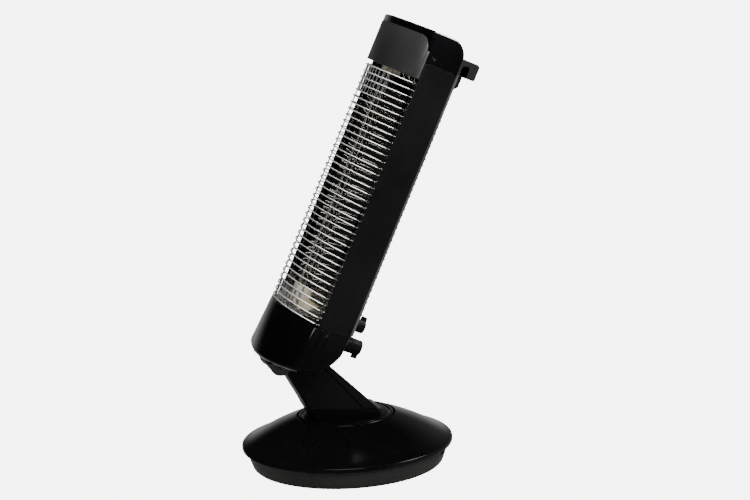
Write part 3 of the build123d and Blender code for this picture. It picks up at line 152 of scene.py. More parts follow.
# ---------------------------------------------------------------- outlines and surfaces
def head_place(points):
    """Turns (x, v, s) by the head's lean and lowers it on to the neck: y = y0 + v cos + s sin,
    z = z0 - v sin + s cos."""
    x, v, s = points[..., 0], points[..., 1], points[..., 2]
    y = HEAD_Y + v * math.cos(LEAN) + s * math.sin(LEAN)
    z = HEAD_Z - v * math.sin(LEAN) + s * math.cos(LEAN)
    return np.stack([x, y, z], -1)


def front_depth(x, inset=0.0):
    """How far the front's bow stands forward at x: an arc of FRONT_RADIUS less the inset."""
    drop = np.sqrt((FRONT_RADIUS - inset) ** 2 - np.asarray(x, float) ** 2)
    return FRONT_LEAD + FRONT_SAG - FRONT_RADIUS + drop


def circle(steps):
    """Equal angles round a full turn, the last one short of the first."""
    return np.linspace(0, 2 * math.pi, steps, endpoint=False)


def headings(points):
    """Unit directions along a line of points: the central difference over its length."""
    along = np.gradient(points, axis=0)
    return along / np.linalg.norm(along, axis=1)[:, None]


def round_corner(start, corner, end, steps):
    """A quadratic curve round a corner: (1 - t)^2 start + 2 t (1 - t) corner + t^2 end."""
    t = np.linspace(0, 1, steps)[:, None]
    return (1 - t) ** 2 * start + 2 * t * (1 - t) * corner + t ** 2 * end


def rectangle(half, low, high):
    """Corners of a rectangle that spans half to each side and runs from low to high."""
    return [(-half, low), (half, low), (half, high), (-half, high)]


def rounded(corners, radii, steps=5):
    """Closed outline with each corner replaced by an arc: the arc starts where the circle of that
    radius touches the first side and ends where it touches the next."""
    corners = np.asarray(corners, float)
    before = np.roll(corners, 1, axis=0) - corners
    after = np.roll(corners, -1, axis=0) - corners
    before /= np.linalg.norm(before, axis=1)[:, None]
    after /= np.linalg.norm(after, axis=1)[:, None]
    half = np.arccos(np.clip((before * after).sum(1), -1, 1)) / 2
    radii = np.broadcast_to(np.asarray(radii, float), half.shape)
    reach = radii / np.tan(half)
    middle = before + after
    middle /= np.linalg.norm(middle, axis=1)[:, None]
    centre = corners + middle * (radii / np.sin(half))[:, None]
    start = corners + before * reach[:, None] - centre
    end = corners + after * reach[:, None] - centre
    sweep = np.arctan2(start[:, 0] * end[:, 1] - start[:, 1] * end[:, 0], (start * end).sum(1))
    turn = sweep[:, None] * np.linspace(0, 1, steps)[None, :]
    x = start[:, :1] * np.cos(turn) - start[:, 1:] * np.sin(turn)
    y = start[:, :1] * np.sin(turn) + start[:, 1:] * np.cos(turn)
    return (centre[:, None, :] + np.stack([x, y], -1)).reshape(-1, 2)


def shrink(outline, inset):
    """Moves each point of a closed outline inwards along the mean of its two sides' normals."""
    ahead = np.roll(outline, -1, axis=0) - outline
    ahead /= np.linalg.norm(ahead, axis=1)[:, None] + 1e-12
    behind = np.roll(ahead, 1, axis=0)
    normal = np.stack([-(ahead[:, 1] + behind[:, 1]), ahead[:, 0] + behind[:, 0]], -1)
    size = (normal ** 2).sum(1)
    x, y = outline.T
    area = (x * np.roll(y, -1) - y * np.roll(x, -1)).sum()
    return outline + normal * (2 * inset * np.sign(area) / np.maximum(size, 1.0))[:, None]


def ribbon(points, thickness):
    """Closed outline of a bent sheet: the open line pushed half its thickness to each side."""
    along = headings(points)
    side = np.stack([-along[:, 1], along[:, 0]], -1) * thickness / 2
    return np.concatenate([points + side, (points - side)[::-1]])


def slab(outline, low, high, edge, steps=4):
    """An outline carried from low to high, with its rims rounded by a quarter circle: near each
    end the outline shrinks by edge (1 - sin a) while the height runs by edge (1 - cos a)."""
    angle = np.linspace(0, math.pi / 2, steps)
    inset = edge * (1 - np.sin(angle))
    rise = edge * (1 - np.cos(angle))
    insets = np.concatenate([inset, inset[::-1]])
    heights = np.concatenate([low + rise, high - rise[::-1]])
    rings = [shrink(outline, value) for value in insets]
    return np.stack([np.column_stack([ring, np.full(len(ring), height)])
                     for ring, height in zip(rings, heights)])


def turned(profile, steps, centre=(0.0, 0.0)):
    """A profile (radius, height) turned about the vertical: x = r cos a, y = r sin a."""
    profile = np.asarray(profile, float)
    angle = circle(steps)
    x = centre[0] + profile[:, :1] * np.cos(angle)
    y = centre[1] + profile[:, :1] * np.sin(angle)
    z = np.repeat(profile[:, 1:], steps, axis=1)
    return np.stack([x, y, z], -1)


def wire(path, radius, across, sides=8):
    """A round wire along a path that lies in a plane: circles of the wire's radius, spanned by the
    plane's normal and the path's own normal in the plane."""
    path = np.asarray(path, float)
    across = np.asarray(across, float)
    side = np.cross(across, headings(path))
    angle = circle(sides)
    ring = np.cos(angle)[None, :, None] * across + np.sin(angle)[None, :, None] * side[:, None, :]
    return path[:, None, :] + radius * ring


def grid_faces(rows, columns, first, closed_rows, ladder):
    """Quads between neighbouring rows and columns; columns always close. Rows close, or the first
    and last row get a cap: one face, or rungs between a mirrored outline's two halves."""
    row = np.arange(rows if closed_rows else rows - 1)[:, None]
    column = np.arange(columns)[None, :]
    above = (row + 1) % rows
    beside = (column + 1) % columns
    corners = [row * columns + column, row * columns + beside,
               above * columns + beside, above * columns + column]
    quads = np.stack([np.broadcast_to(corner, (len(row), columns)) for corner in corners], -1) + first
    faces = quads.reshape(-1, 4).tolist()
    if ladder:
        near = np.arange(columns // 2 - 1)
        rungs = np.stack([near, near + 1, columns - 2 - near, columns - 1 - near], -1)
        faces += (rungs + first).tolist() + (rungs[:, ::-1] + first + (rows - 1) * columns).tolist()
    elif not closed_rows:
        faces.append((np.arange(columns)[::-1] + first).tolist())
        faces.append((np.arange(columns) + first + (rows - 1) * columns).tolist())
    return faces


def make_piece(
        name, grids, material, nodes, body="head", closed_rows=False, sharp=40, ladder=False):
    """Joins grids (row, column, xyz) into one mesh in metres, closes it and puts it on its body. The
    grids of the head and of its controls are leaned first; closed_rows may be given for each grid."""
    points = []
    faces = []
    first = 0
    for grid in grids:
        rows, columns = grid.shape[:2]
        closes = closed_rows if isinstance(closed_rows, bool) else closed_rows[len(points)]
        faces += grid_faces(rows, columns, first, closes, ladder)
        placed = grid if body in UPRIGHT_BODIES else head_place(grid)
        points.append(placed.reshape(-1, 3) * MM)
        first += rows * columns
    mesh = bpy.data.meshes.new(name)
    mesh.from_pydata(np.concatenate(points), [], faces)
    clean(mesh)
    finish_piece(name, mesh, material, body, nodes, sharp)


def add_object(name, data):
    """Puts new data into the scene as an object at the origin."""
    made = bpy.data.objects.new(name, data)
    bpy.context.scene.collection.objects.link(made)
    return made


def clean(mesh):
    """Merges doubles, drops faces without area and turns every face outwards."""
    work = bmesh.new()
    work.from_mesh(mesh)
    bmesh.ops.remove_doubles(work, verts=work.verts, dist=SAME_POINT)
    bmesh.ops.dissolve_degenerate(work, dist=SAME_POINT, edges=work.edges)
    bmesh.ops.recalc_face_normals(work, faces=work.faces)
    work.to_mesh(mesh)
    work.free()


def coat_with(mesh, material):
    """Gives a mesh one finish by name in place of what it had."""
    mesh.materials.clear()
    mesh.materials.append(bpy.data.materials[material])


def finish_piece(name, mesh, material, body, nodes, sharp):
    """Shades a mesh smooth up to an angle, gives it its material and body, and hides the nodes that it
    stands in for.
    """
    mesh.shade_smooth()
    mesh.set_sharp_from_angle(angle=math.radians(sharp))
    coat_with(mesh, material)
    piece = add_object(name, mesh)
    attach(piece, body)
    if nodes:
        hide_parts(*nodes)
    return piece


def softened(node, material, edge, body="head", sharp=32, reshape=None):
    """A copy of a node's mesh with its flat faces joined, and its edges rounded by a Bevel; reshape
    moves the copy's points, given in millimetres."""
    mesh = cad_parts[node].data.copy()
    mesh.name = node + "_skin"
    work = bmesh.new()
    work.from_mesh(mesh)
    bmesh.ops.remove_doubles(work, verts=work.verts, dist=SAME_CAD_POINT)
    bmesh.ops.dissolve_limit(work, angle_limit=FLAT, verts=work.verts, edges=work.edges)
    work.to_mesh(mesh)
    work.free()
    if reshape:
        points = np.empty(len(mesh.vertices) * 3)
        mesh.vertices.foreach_get("co", points)
        mesh.vertices.foreach_set("co", (reshape(points.reshape(-1, 3) / MM) * MM).ravel())
    piece = finish_piece(node + "_skin", mesh, material, body, [node], sharp)
    bevel = piece.modifiers.new("edges", "BEVEL")
    bevel.width = edge
    bevel.segments = 2
    bevel.limit_method = "ANGLE"
    bevel.angle_limit = math.radians(sharp)
    bevel.harden_normals = True


# ---------------------------------------------------------------- shared effects
def effect_group(name, inputs):
    """A shader node group with a Vector and named values in, and one value out."""
    group = bpy.data.node_groups.new(name, "ShaderNodeTree")
    group.interface.new_socket("Vector", in_out="INPUT", socket_type="NodeSocketVector")
    for label, default in inputs:
        socket = group.interface.new_socket(label, in_out="INPUT", socket_type="NodeSocketFloat")
        socket.default_value = default
    group.interface.new_socket("Value", in_out="OUTPUT", socket_type="NodeSocketFloat")
    source = group.nodes.new("NodeGroupInput")
    sink = group.nodes.new("NodeGroupOutput")
    return group, source, sink


def feed(tree, value, socket):
    """Links another node's output to a socket, or sets the socket to a plain value."""
    if isinstance(value, bpy.types.NodeSocket):
        tree.links.new(value, socket)
    else:
        socket.default_value = value


def math_node(tree, operation, first, second):
    """One Math node whose inputs are sockets or numbers."""
    node = tree.nodes.new("ShaderNodeMath")
    node.operation = operation
    feed(tree, first, node.inputs[0])
    feed(tree, second, node.inputs[1])
    return node.outputs[0]


def noise_node(tree, vector, scale, detail, roughness=0.5):
    """One Noise Texture whose scale comes from a socket."""
    node = tree.nodes.new("ShaderNodeTexNoise")
    node.inputs["Detail"].default_value = detail
    node.inputs["Roughness"].default_value = roughness
    tree.links.new(vector, node.inputs["Vector"])
    tree.links.new(scale, node.inputs["Scale"])
    return node.outputs["Fac"]


def map_node(tree, value, low, high, to_low, to_high, smooth=False):
    """One Map Range node; the target ends are sockets or numbers."""
    node = tree.nodes.new("ShaderNodeMapRange")
    if smooth:
        node.interpolation_type = "SMOOTHSTEP"
    tree.links.new(value, node.inputs["Value"])
    node.inputs["From Min"].default_value = low
    node.inputs["From Max"].default_value = high
    feed(tree, to_low, node.inputs["To Min"])
    feed(tree, to_high, node.inputs["To Max"])
    return node.outputs["Result"]


def colour_mix(tree, share, first, second):
    """One Mix node between two colours: share 0 gives the first and 1 the second."""
    node = tree.nodes.new("ShaderNodeMix")
    node.data_type = "RGBA"
    tree.links.new(share, node.inputs["Factor"])
    feed(tree, first, node.inputs["A"])
    feed(tree, second, node.inputs["B"])
    return node.outputs["Result"]


def shader_mix(tree, share, first, second):
    """One Mix Shader node: share 0 gives the first shader and 1 the second."""
    node = tree.nodes.new("ShaderNodeMixShader")
    for value, socket in zip((share, first, second), node.inputs):
        tree.links.new(value, socket)
    return node.outputs["Shader"]


def build_drift():
    """Slow change between two values over the surface: noise of a few octaves, its middle part
    stretched from the low value to the high one."""
    group, source, sink = effect_group("surface_drift", (("Scale", 20.0), ("Low", 0.2), ("High", 0.3)))
    noise = noise_node(group, source.outputs["Vector"], source.outputs["Scale"], 3.0)
    value = map_node(group, noise, 0.35, 0.65, source.outputs["Low"], source.outputs["High"])
    group.links.new(value, sink.inputs["Value"])


def build_grain():
    """Spark-eroded grain of a moulding, or the orange peel of paint: fine noise plus coarser noise."""
    group, source, sink = effect_group("moulding_grain", (("Scale", 900.0), ("Coarse share", 0.4)))
    fine = noise_node(group, source.outputs["Vector"], source.outputs["Scale"], 2.0, 0.6)
    wider = math_node(group, "MULTIPLY", source.outputs["Scale"], 0.3)
    coarse = noise_node(group, source.outputs["Vector"], wider, 1.0)
    weighed = math_node(group, "MULTIPLY", coarse, source.outputs["Coarse share"])
    group.links.new(math_node(group, "ADD", fine, weighed), sink.inputs["Value"])


def build_dust():
    """Thin dust where a surface faces up: the upward part of the normal times patchy noise."""
    group, source, sink = effect_group("settled_dust", (("Scale", 60.0), ("Amount", 0.02)))
    geometry = group.nodes.new("ShaderNodeNewGeometry")
    parts = group.nodes.new("ShaderNodeSeparateXYZ")
    group.links.new(geometry.outputs["Normal"], parts.inputs["Vector"])
    upward = map_node(group, parts.outputs["Z"], 0.3, 1.0, 0.0, 1.0, smooth=True)
    patches = noise_node(group, source.outputs["Vector"], source.outputs["Scale"], 5.0, 0.65)
    patches = map_node(group, patches, 0.4, 0.75, 0.25, 1.0)
    mask = math_node(group, "MULTIPLY", upward, patches)
    group.links.new(math_node(group, "MULTIPLY", mask, source.outputs["Amount"]), sink.inputs["Value"])


def build_drawn_lines():
    """Fine lines along one direction, as rolled sheet and turned steel have: noise squeezed across
    and stretched along the lines by the material's Mapping node."""
    group, source, sink = effect_group("drawn_lines", (("Scale", 400.0),))
    lines = noise_node(group, source.outputs["Vector"], source.outputs["Scale"], 4.0, 0.7)
    group.links.new(lines, sink.inputs["Value"])


def place_effect(tree, vector, name, **values):
    """Puts a shared effect in a material with its own values and returns its output."""
    node = tree.nodes.new("ShaderNodeGroup")
    node.node_tree = bpy.data.node_groups[name]
    tree.links.new(vector, node.inputs["Vector"])
    for label, value in values.items():
        node.inputs[label.replace("_", " ")].default_value = value
    return node.outputs["Value"]


DUST = (0.45, 0.43, 0.4, 1)
DUST_SCALE = 70.0
TINT_SCALE = 0.6        # the tint drifts in wider patches than the roughness
BUMP_STRENGTH = 0.35


def finish_material(
        name, colour, low, high, drift=18.0, metallic=0.0, grain=None, lines=None, dust=0.0,
        transmission=0.0, ior=1.5, tint=None, stretch=(1.0, 1.0, 1.0)):
    """A Principled finish: roughness drifts from low to high, grain=(scale, bump) or
    lines=(scale, bump) raises the surface, dust lightens what faces up, and tint is a second colour
    that drifts in, or else the first one a little lighter."""
    material = bpy.data.materials.new(name)
    material.use_nodes = True
    tree = material.node_tree
    sockets = tree.nodes["Principled BSDF"].inputs
    sockets["Metallic"].default_value = metallic
    sockets["IOR"].default_value = ior
    sockets["Transmission Weight"].default_value = transmission
    coordinates = tree.nodes.new("ShaderNodeTexCoord").outputs["Object"]
    tint = tint or [min(1, part * 1.35 + 0.0015) for part in colour]
    patches = place_effect(
        tree, coordinates, "surface_drift", Scale=drift * TINT_SCALE, Low=0.0, High=1.0)
    base = colour_mix(tree, patches, (*colour, 1), (*tint, 1))
    settled = place_effect(tree, coordinates, "settled_dust", Scale=DUST_SCALE, Amount=dust)
    tree.links.new(colour_mix(tree, settled, base, DUST), sockets["Base Color"])
    roughness = place_effect(tree, coordinates, "surface_drift", Scale=drift, Low=low, High=high)
    tree.links.new(roughness, sockets["Roughness"])
    if lines:
        mapping = tree.nodes.new("ShaderNodeMapping")
        mapping.inputs["Scale"].default_value = stretch
        tree.links.new(coordinates, mapping.inputs["Vector"])
        height = place_effect(tree, mapping.outputs["Vector"], "drawn_lines", Scale=lines[0])
    else:
        height = place_effect(tree, coordinates, "moulding_grain", Scale=grain[0])
    bump = tree.nodes.new("ShaderNodeBump")
    bump.inputs["Strength"].default_value = BUMP_STRENGTH
    bump.inputs["Distance"].default_value = (lines or grain)[1]
    tree.links.new(height, bump.inputs["Height"])
    tree.links.new(bump.outputs["Normal"], sockets["Normal"])


class HEATER_OT_finishes(Operator):
    """Build the shared effects and the finishes made from them."""
    bl_idname = "heater.finishes"
    bl_label = "Finishes"

    def execute(self, context):
        colours = context.scene.heater_colours
        build_drift()
        build_grain()
        build_dust()
        build_drawn_lines()
        finish_material("gloss_moulding", colours.gloss, 0.13, 0.18, drift=9.0,
                        grain=(55.0, 0.00001), dust=0.002)
        finish_material("satin_paint", colours.satin, 0.34, 0.42, grain=(1100.0, 0.00003), dust=0.002)
        finish_material("graphite_paint", colours.visor, 0.4, 0.48, grain=(1200.0, 0.00003), dust=0.004)
        finish_material("tray_moulding", colours.tray, 0.38, 0.46, grain=(900.0, 0.00004))
        finish_material("grained_plastic", colours.plastic, 0.36, 0.46, grain=(700.0, 0.00006),
                        dust=0.002)
        finish_material("bright_chrome", (0.9, 0.9, 0.9), 0.24, 0.32, drift=30.0, metallic=1.0,
                        grain=(300.0, 0.00001), tint=(0.72, 0.72, 0.73))
        finish_material("polished_sheet", (0.66, 0.63, 0.57), 0.03, 0.07, drift=14.0, metallic=1.0,
                        lines=(60.0, 0.000004), stretch=(1.0, 0.12, 0.12), tint=(0.56, 0.52, 0.45))
        # A paler, creamier copy of polished_sheet for the lower end flap only: a painted highlight where
        # that flap is lit. The upper end keeps polished_sheet.
        finish_material("painted_lit_sheet", (0.96, 0.92, 0.82), 0.12, 0.2, drift=20.0, metallic=1.0,
                        lines=(90.0, 0.00002), stretch=(1.0, 0.12, 0.12), tint=(0.9, 0.85, 0.74))
        finish_material("grip_plastic", colours.grip, 0.3, 0.4, grain=(700.0, 0.00004), dust=0.002)
        finish_material("plated_steel", (0.55, 0.55, 0.53), 0.28, 0.42, metallic=1.0,
                        lines=(300.0, 0.00003), stretch=(0.2, 1.0, 1.0), tint=(0.46, 0.45, 0.41))
        finish_material("blackened_steel", (0.05, 0.05, 0.052), 0.32, 0.45, metallic=0.7,
                        lines=(300.0, 0.00003), stretch=(0.3, 1.0, 1.0))
        finish_material("heating_wire", (0.2, 0.16, 0.13), 0.4, 0.55, drift=60.0, metallic=0.8,
                        lines=(500.0, 0.00003), stretch=(1.0, 0.3, 0.3), tint=(0.26, 0.2, 0.15))
        finish_material("quartz", (0.95, 0.93, 0.88), 0.03, 0.08, drift=12.0, transmission=1.0, ior=1.46,
                        grain=(160.0, 0.00001), tint=(0.98, 0.97, 0.94))
        finish_material("ceramic", colours.ceramic, 0.5, 0.65, drift=40.0, grain=(800.0, 0.00008),
                        tint=(0.6, 0.53, 0.4))
        finish_material("rubber", (0.012, 0.012, 0.012), 0.6, 0.75, grain=(500.0, 0.0001))
        finish_material("cast_weight", (0.05, 0.048, 0.046), 0.55, 0.75, drift=50.0, metallic=0.5,
                        grain=(260.0, 0.0004), tint=(0.09, 0.07, 0.055))
        return {"FINISHED"}


# ---------------------------------------------------------------- base
LIP_RADIUS = 125.0
LIP_BOTTOM = 25.5
LIP_TOP = 31.0
WELL_RADIUS = 58.1
WELL_FLOOR = 50.0
DOME_TOP = 61.4
COVER_WALL = 2.5
SWELL = 2.0
FLARE = 20.0
FLARE_FADE = 5


def dome_profile(points):
    """Height of the dome over its radius: a straight cone, plus swell sin(pi t), less a flare
    t exp(-fade t) that dies away from the lip, where t runs from the lip to the well."""
    share = np.linspace(0, 1, points)
    edge = LIP_RADIUS - 1.0
    radius = edge + share * (WELL_RADIUS + 0.7 - edge)
    cone = LIP_TOP + share * (DOME_TOP - LIP_TOP)
    bulge = SWELL * np.sin(math.pi * share) - FLARE * share * np.exp(-FLARE_FADE * share)
    return np.column_stack([radius, cone + bulge])


class HEATER_OT_base(Operator):
    """Domed base cover with its lip and well, and the tray and cord gland below it."""
    bl_idname = "heater.base"
    bl_label = "Base"

    tray_top = 25.4
    tray_radius = 119.0
    tray_floor = 114.0
    tray_hole = 60.0
    tray_low = 2.0
    tray_wall = 2.5
    outlet_angle = 65.0
    outlet_half = 12.5
    outlet_depth = 13.0
    outlet_sill = 16.4
    bush_gap = 0.1

    def tray(self):
        """A shallow bowl, its wall falling inwards in a soft curve, pressed in by the outlet's depth
        where the angle is near the outlet's and the height is over the sill."""
        fall = np.linspace(0, 1, 8)
        radius = self.tray_radius - (self.tray_radius - self.tray_floor) * fall ** 1.5
        wall = np.column_stack([radius, self.tray_top - 0.6 - fall * (self.tray_top - 7.0)])
        sill = int(np.argmax(wall[:, 1] < self.outlet_sill))
        edge = np.interp(self.outlet_sill, wall[::-1, 1], wall[::-1, 0])
        ledge = [(edge, self.outlet_sill + 0.05), (edge, self.outlet_sill)]
        low, high, hole = self.tray_low, self.tray_low + self.tray_wall, self.tray_hole
        floor = [(self.tray_floor - 0.7, 4.6), (self.tray_floor - 2.4, 2.9), (self.tray_floor - 5.0, low),
                 (hole, low), (hole, high), (self.tray_floor - 6.0, high), (self.tray_floor - 3.0, 7.0)]
        rim = [(self.tray_radius - 3.0, self.tray_top), (self.tray_radius - 0.6, self.tray_top)]
        profile = np.concatenate([wall[:sill], ledge, wall[sill:], floor, rim])
        grid = turned(profile, 288)
        angle = np.degrees(np.arctan2(grid[..., 1], grid[..., 0]))
        beside = np.clip(self.outlet_half - np.abs(angle - self.outlet_angle), 0, 1)
        pressed = beside * (profile[:, 1] > self.outlet_sill + 0.01)[:, None]
        pressed[-2] = 0
        share = 1 - pressed * self.outlet_depth / self.tray_radius
        grid[..., :2] *= share[..., None]
        return grid

    def execute(self, context):
        dome = dome_profile(56)
        inner = LIP_RADIUS - COVER_WALL
        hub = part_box("swivel_bush")[1].x / MM + self.bush_gap
        lip = [(inner, LIP_BOTTOM + 0.3), (inner + 0.4, LIP_BOTTOM), (LIP_RADIUS - 0.9, LIP_BOTTOM),
               (LIP_RADIUS - 0.25, LIP_BOTTOM + 0.25), (LIP_RADIUS, LIP_BOTTOM + 0.9),
               (LIP_RADIUS, LIP_TOP - 1.6), (LIP_RADIUS - 0.25, LIP_TOP - 0.7)]
        well = [(WELL_RADIUS + 0.2, DOME_TOP - 0.25), (WELL_RADIUS, DOME_TOP - 0.7),
                (WELL_RADIUS, WELL_FLOOR + 0.4), (WELL_RADIUS - 0.4, WELL_FLOOR),
                (hub, WELL_FLOOR), (hub, WELL_FLOOR - COVER_WALL),
                (WELL_RADIUS + COVER_WALL, WELL_FLOOR - COVER_WALL)]
        under = dome[::-8].copy()
        under[:, 1] -= COVER_WALL
        under = under[(under[:, 0] > WELL_RADIUS + COVER_WALL) & (under[:, 0] < inner - 1)]
        profile = np.concatenate([lip, dome, well, under, [(inner, LIP_TOP - COVER_WALL)]])
        make_piece("base_cover_skin", [turned(profile, 192)], "gloss_moulding",
                   ["base_cover"], body="base", closed_rows=True, sharp=50)
        make_piece("base_pan_skin", [self.tray()], "tray_moulding", ["base_pan"],
                   body="base", closed_rows=True, sharp=50)
        softened("cord_gland", "rubber", FINE_EDGE, body="base")
        return {"FINISHED"}


KNEE_Y = -57.4
KNEE_Z = 90.6
FOOT_SLOPE = 0.527


def foot_line(height):
    """How far back the neck's straight front edge has come at a height below its knee:
    y = knee y + slope (knee z - z)."""
    return KNEE_Y + FOOT_SLOPE * (KNEE_Z - height)


class HEATER_OT_turntable(Operator):
    """Turntable disc with its raised plinth, and the hub below it."""
    bl_idname = "heater.turntable"
    bl_label = "Turntable"

    disc_radius = 56.0
    disc_low = 53.3
    disc_edge = 62.0
    disc_crown = 2.2
    ring_radius = 51.0
    ring_depth = 0.9
    ring_width = 1.0
    plinth_low = 58.0
    plinth_top = 78.5
    plinth_dip = 0.111
    plinth_front = -53.5
    plinth_rear = 38.5
    plinth_half = 25.5
    plinth_round = 6.5
    plinth_edge = 0.8
    plinth_proud = 0.6
    dip_start = -54.0
    hub_radius = 19.0
    hub_reach = 0.3
    overlap = 0.5

    def disc(self):
        """Crowned as a parabola with a ring pressed in near the edge: height = edge
        + crown (1 - r^2 / R^2) - depth exp(-((r - ring) / width)^2)."""
        radius = np.concatenate([np.linspace(self.disc_radius - 1.4, self.ring_radius - 3, 22),
                                 np.linspace(self.ring_radius - 4, 0.0, 12)])
        crown = self.disc_edge + self.disc_crown * (1 - (radius / self.disc_radius) ** 2)
        crown -= self.ring_depth * np.exp(-((radius - self.ring_radius) / self.ring_width) ** 2)
        rim = [(0, self.disc_low), (self.disc_radius - 0.5, self.disc_low),
               (self.disc_radius, self.disc_low + 0.5), (self.disc_radius, self.disc_edge - 1.3),
               (self.disc_radius - 0.15, self.disc_edge - 0.7),
               (self.disc_radius - 0.6, self.disc_edge - 0.15)]
        return turned(np.concatenate([rim, np.column_stack([radius, crown])]), 160)

    def plinth(self):
        """A rounded rectangle carried up to the sloping top, z = low + share (top(y) - low), and
        squeezed towards its rear so that its front stands just proud of the neck's edge."""
        front, rear, rise = self.plinth_front, self.plinth_rear, 20.0
        outline = rounded(rectangle(self.plinth_half, front, rear), self.plinth_round, 8)
        grid = slab(outline, 0.0, rise, self.plinth_edge)
        top = self.plinth_top - self.plinth_dip * (grid[..., 1] - self.dip_start)
        grid[..., 2] = self.plinth_low + grid[..., 2] / rise * (top - self.plinth_low)
        start = foot_line(grid[..., 2]) - self.plinth_proud
        grid[..., 1] = rear - (rear - grid[..., 1]) * (rear - start) / (rear - front)
        return grid

    def hub(self):
        """A plain cylinder from just under the bush up into the disc: r constant over its height."""
        low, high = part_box("swivel_bush")[0].z / MM - self.hub_reach, self.disc_low + self.overlap
        return turned([(0, low), (self.hub_radius, low), (self.hub_radius, high), (0, high)], 64)

    def execute(self, context):
        make_piece("turntable_skin", [self.disc(), self.plinth(), self.hub()], "gloss_moulding",
                   ["turntable_disc"], body="neck", sharp=45)
        return {"FINISHED"}


class HEATER_OT_neck(Operator):
    """Slanted neck shell, the strip behind it with its tongue, and the hinge bracket."""
    bl_idname = "heater.neck"
    bl_label = "Neck"

    split_low = (11.5, 75.0)
    split_high = (-19.0, 112.0)
    lip_half = 20.8
    lip_width = 5.0
    lip_round = 0.3
    knee = 90.5     # just under KNEE_Z, so that the knee's own points stay

    def lip(self):
        """Tongue of the rear strip behind the joint line: a straight bar of four corners, half its
        width to each side of the line, carried across the neck with rounded rims."""
        start, end = np.array(self.split_low), np.array(self.split_high)
        along = (end - start) / np.linalg.norm(end - start)
        side = np.array((-along[1], along[0])) * self.lip_width / 2
        corners = np.array([start - side, end - side, end + side, start + side])
        return slab(corners, -self.lip_half, self.lip_half, self.lip_round)[..., [2, 0, 1]]

    def straighten(self, points):
        """Below the knee, the front moves back to the edge's own straight line."""
        moved = points.copy()
        low = points[:, 2] < self.knee
        moved[low, 1] = np.maximum(points[low, 1], foot_line(points[low, 2]))
        return moved

    def execute(self, context):
        edge = context.scene.heater_sizes.edge_round
        softened("neck_shell", "satin_paint", edge, body="neck", reshape=self.straighten)
        softened("neck_rear_cover", "satin_paint", edge, body="neck")
        make_piece("neck_lip", [self.lip()], "satin_paint", [], body="neck", sharp=30)
        softened("hinge_bracket", "bracket_paint", BRACKET_EDGE)
        return {"FINISHED"}


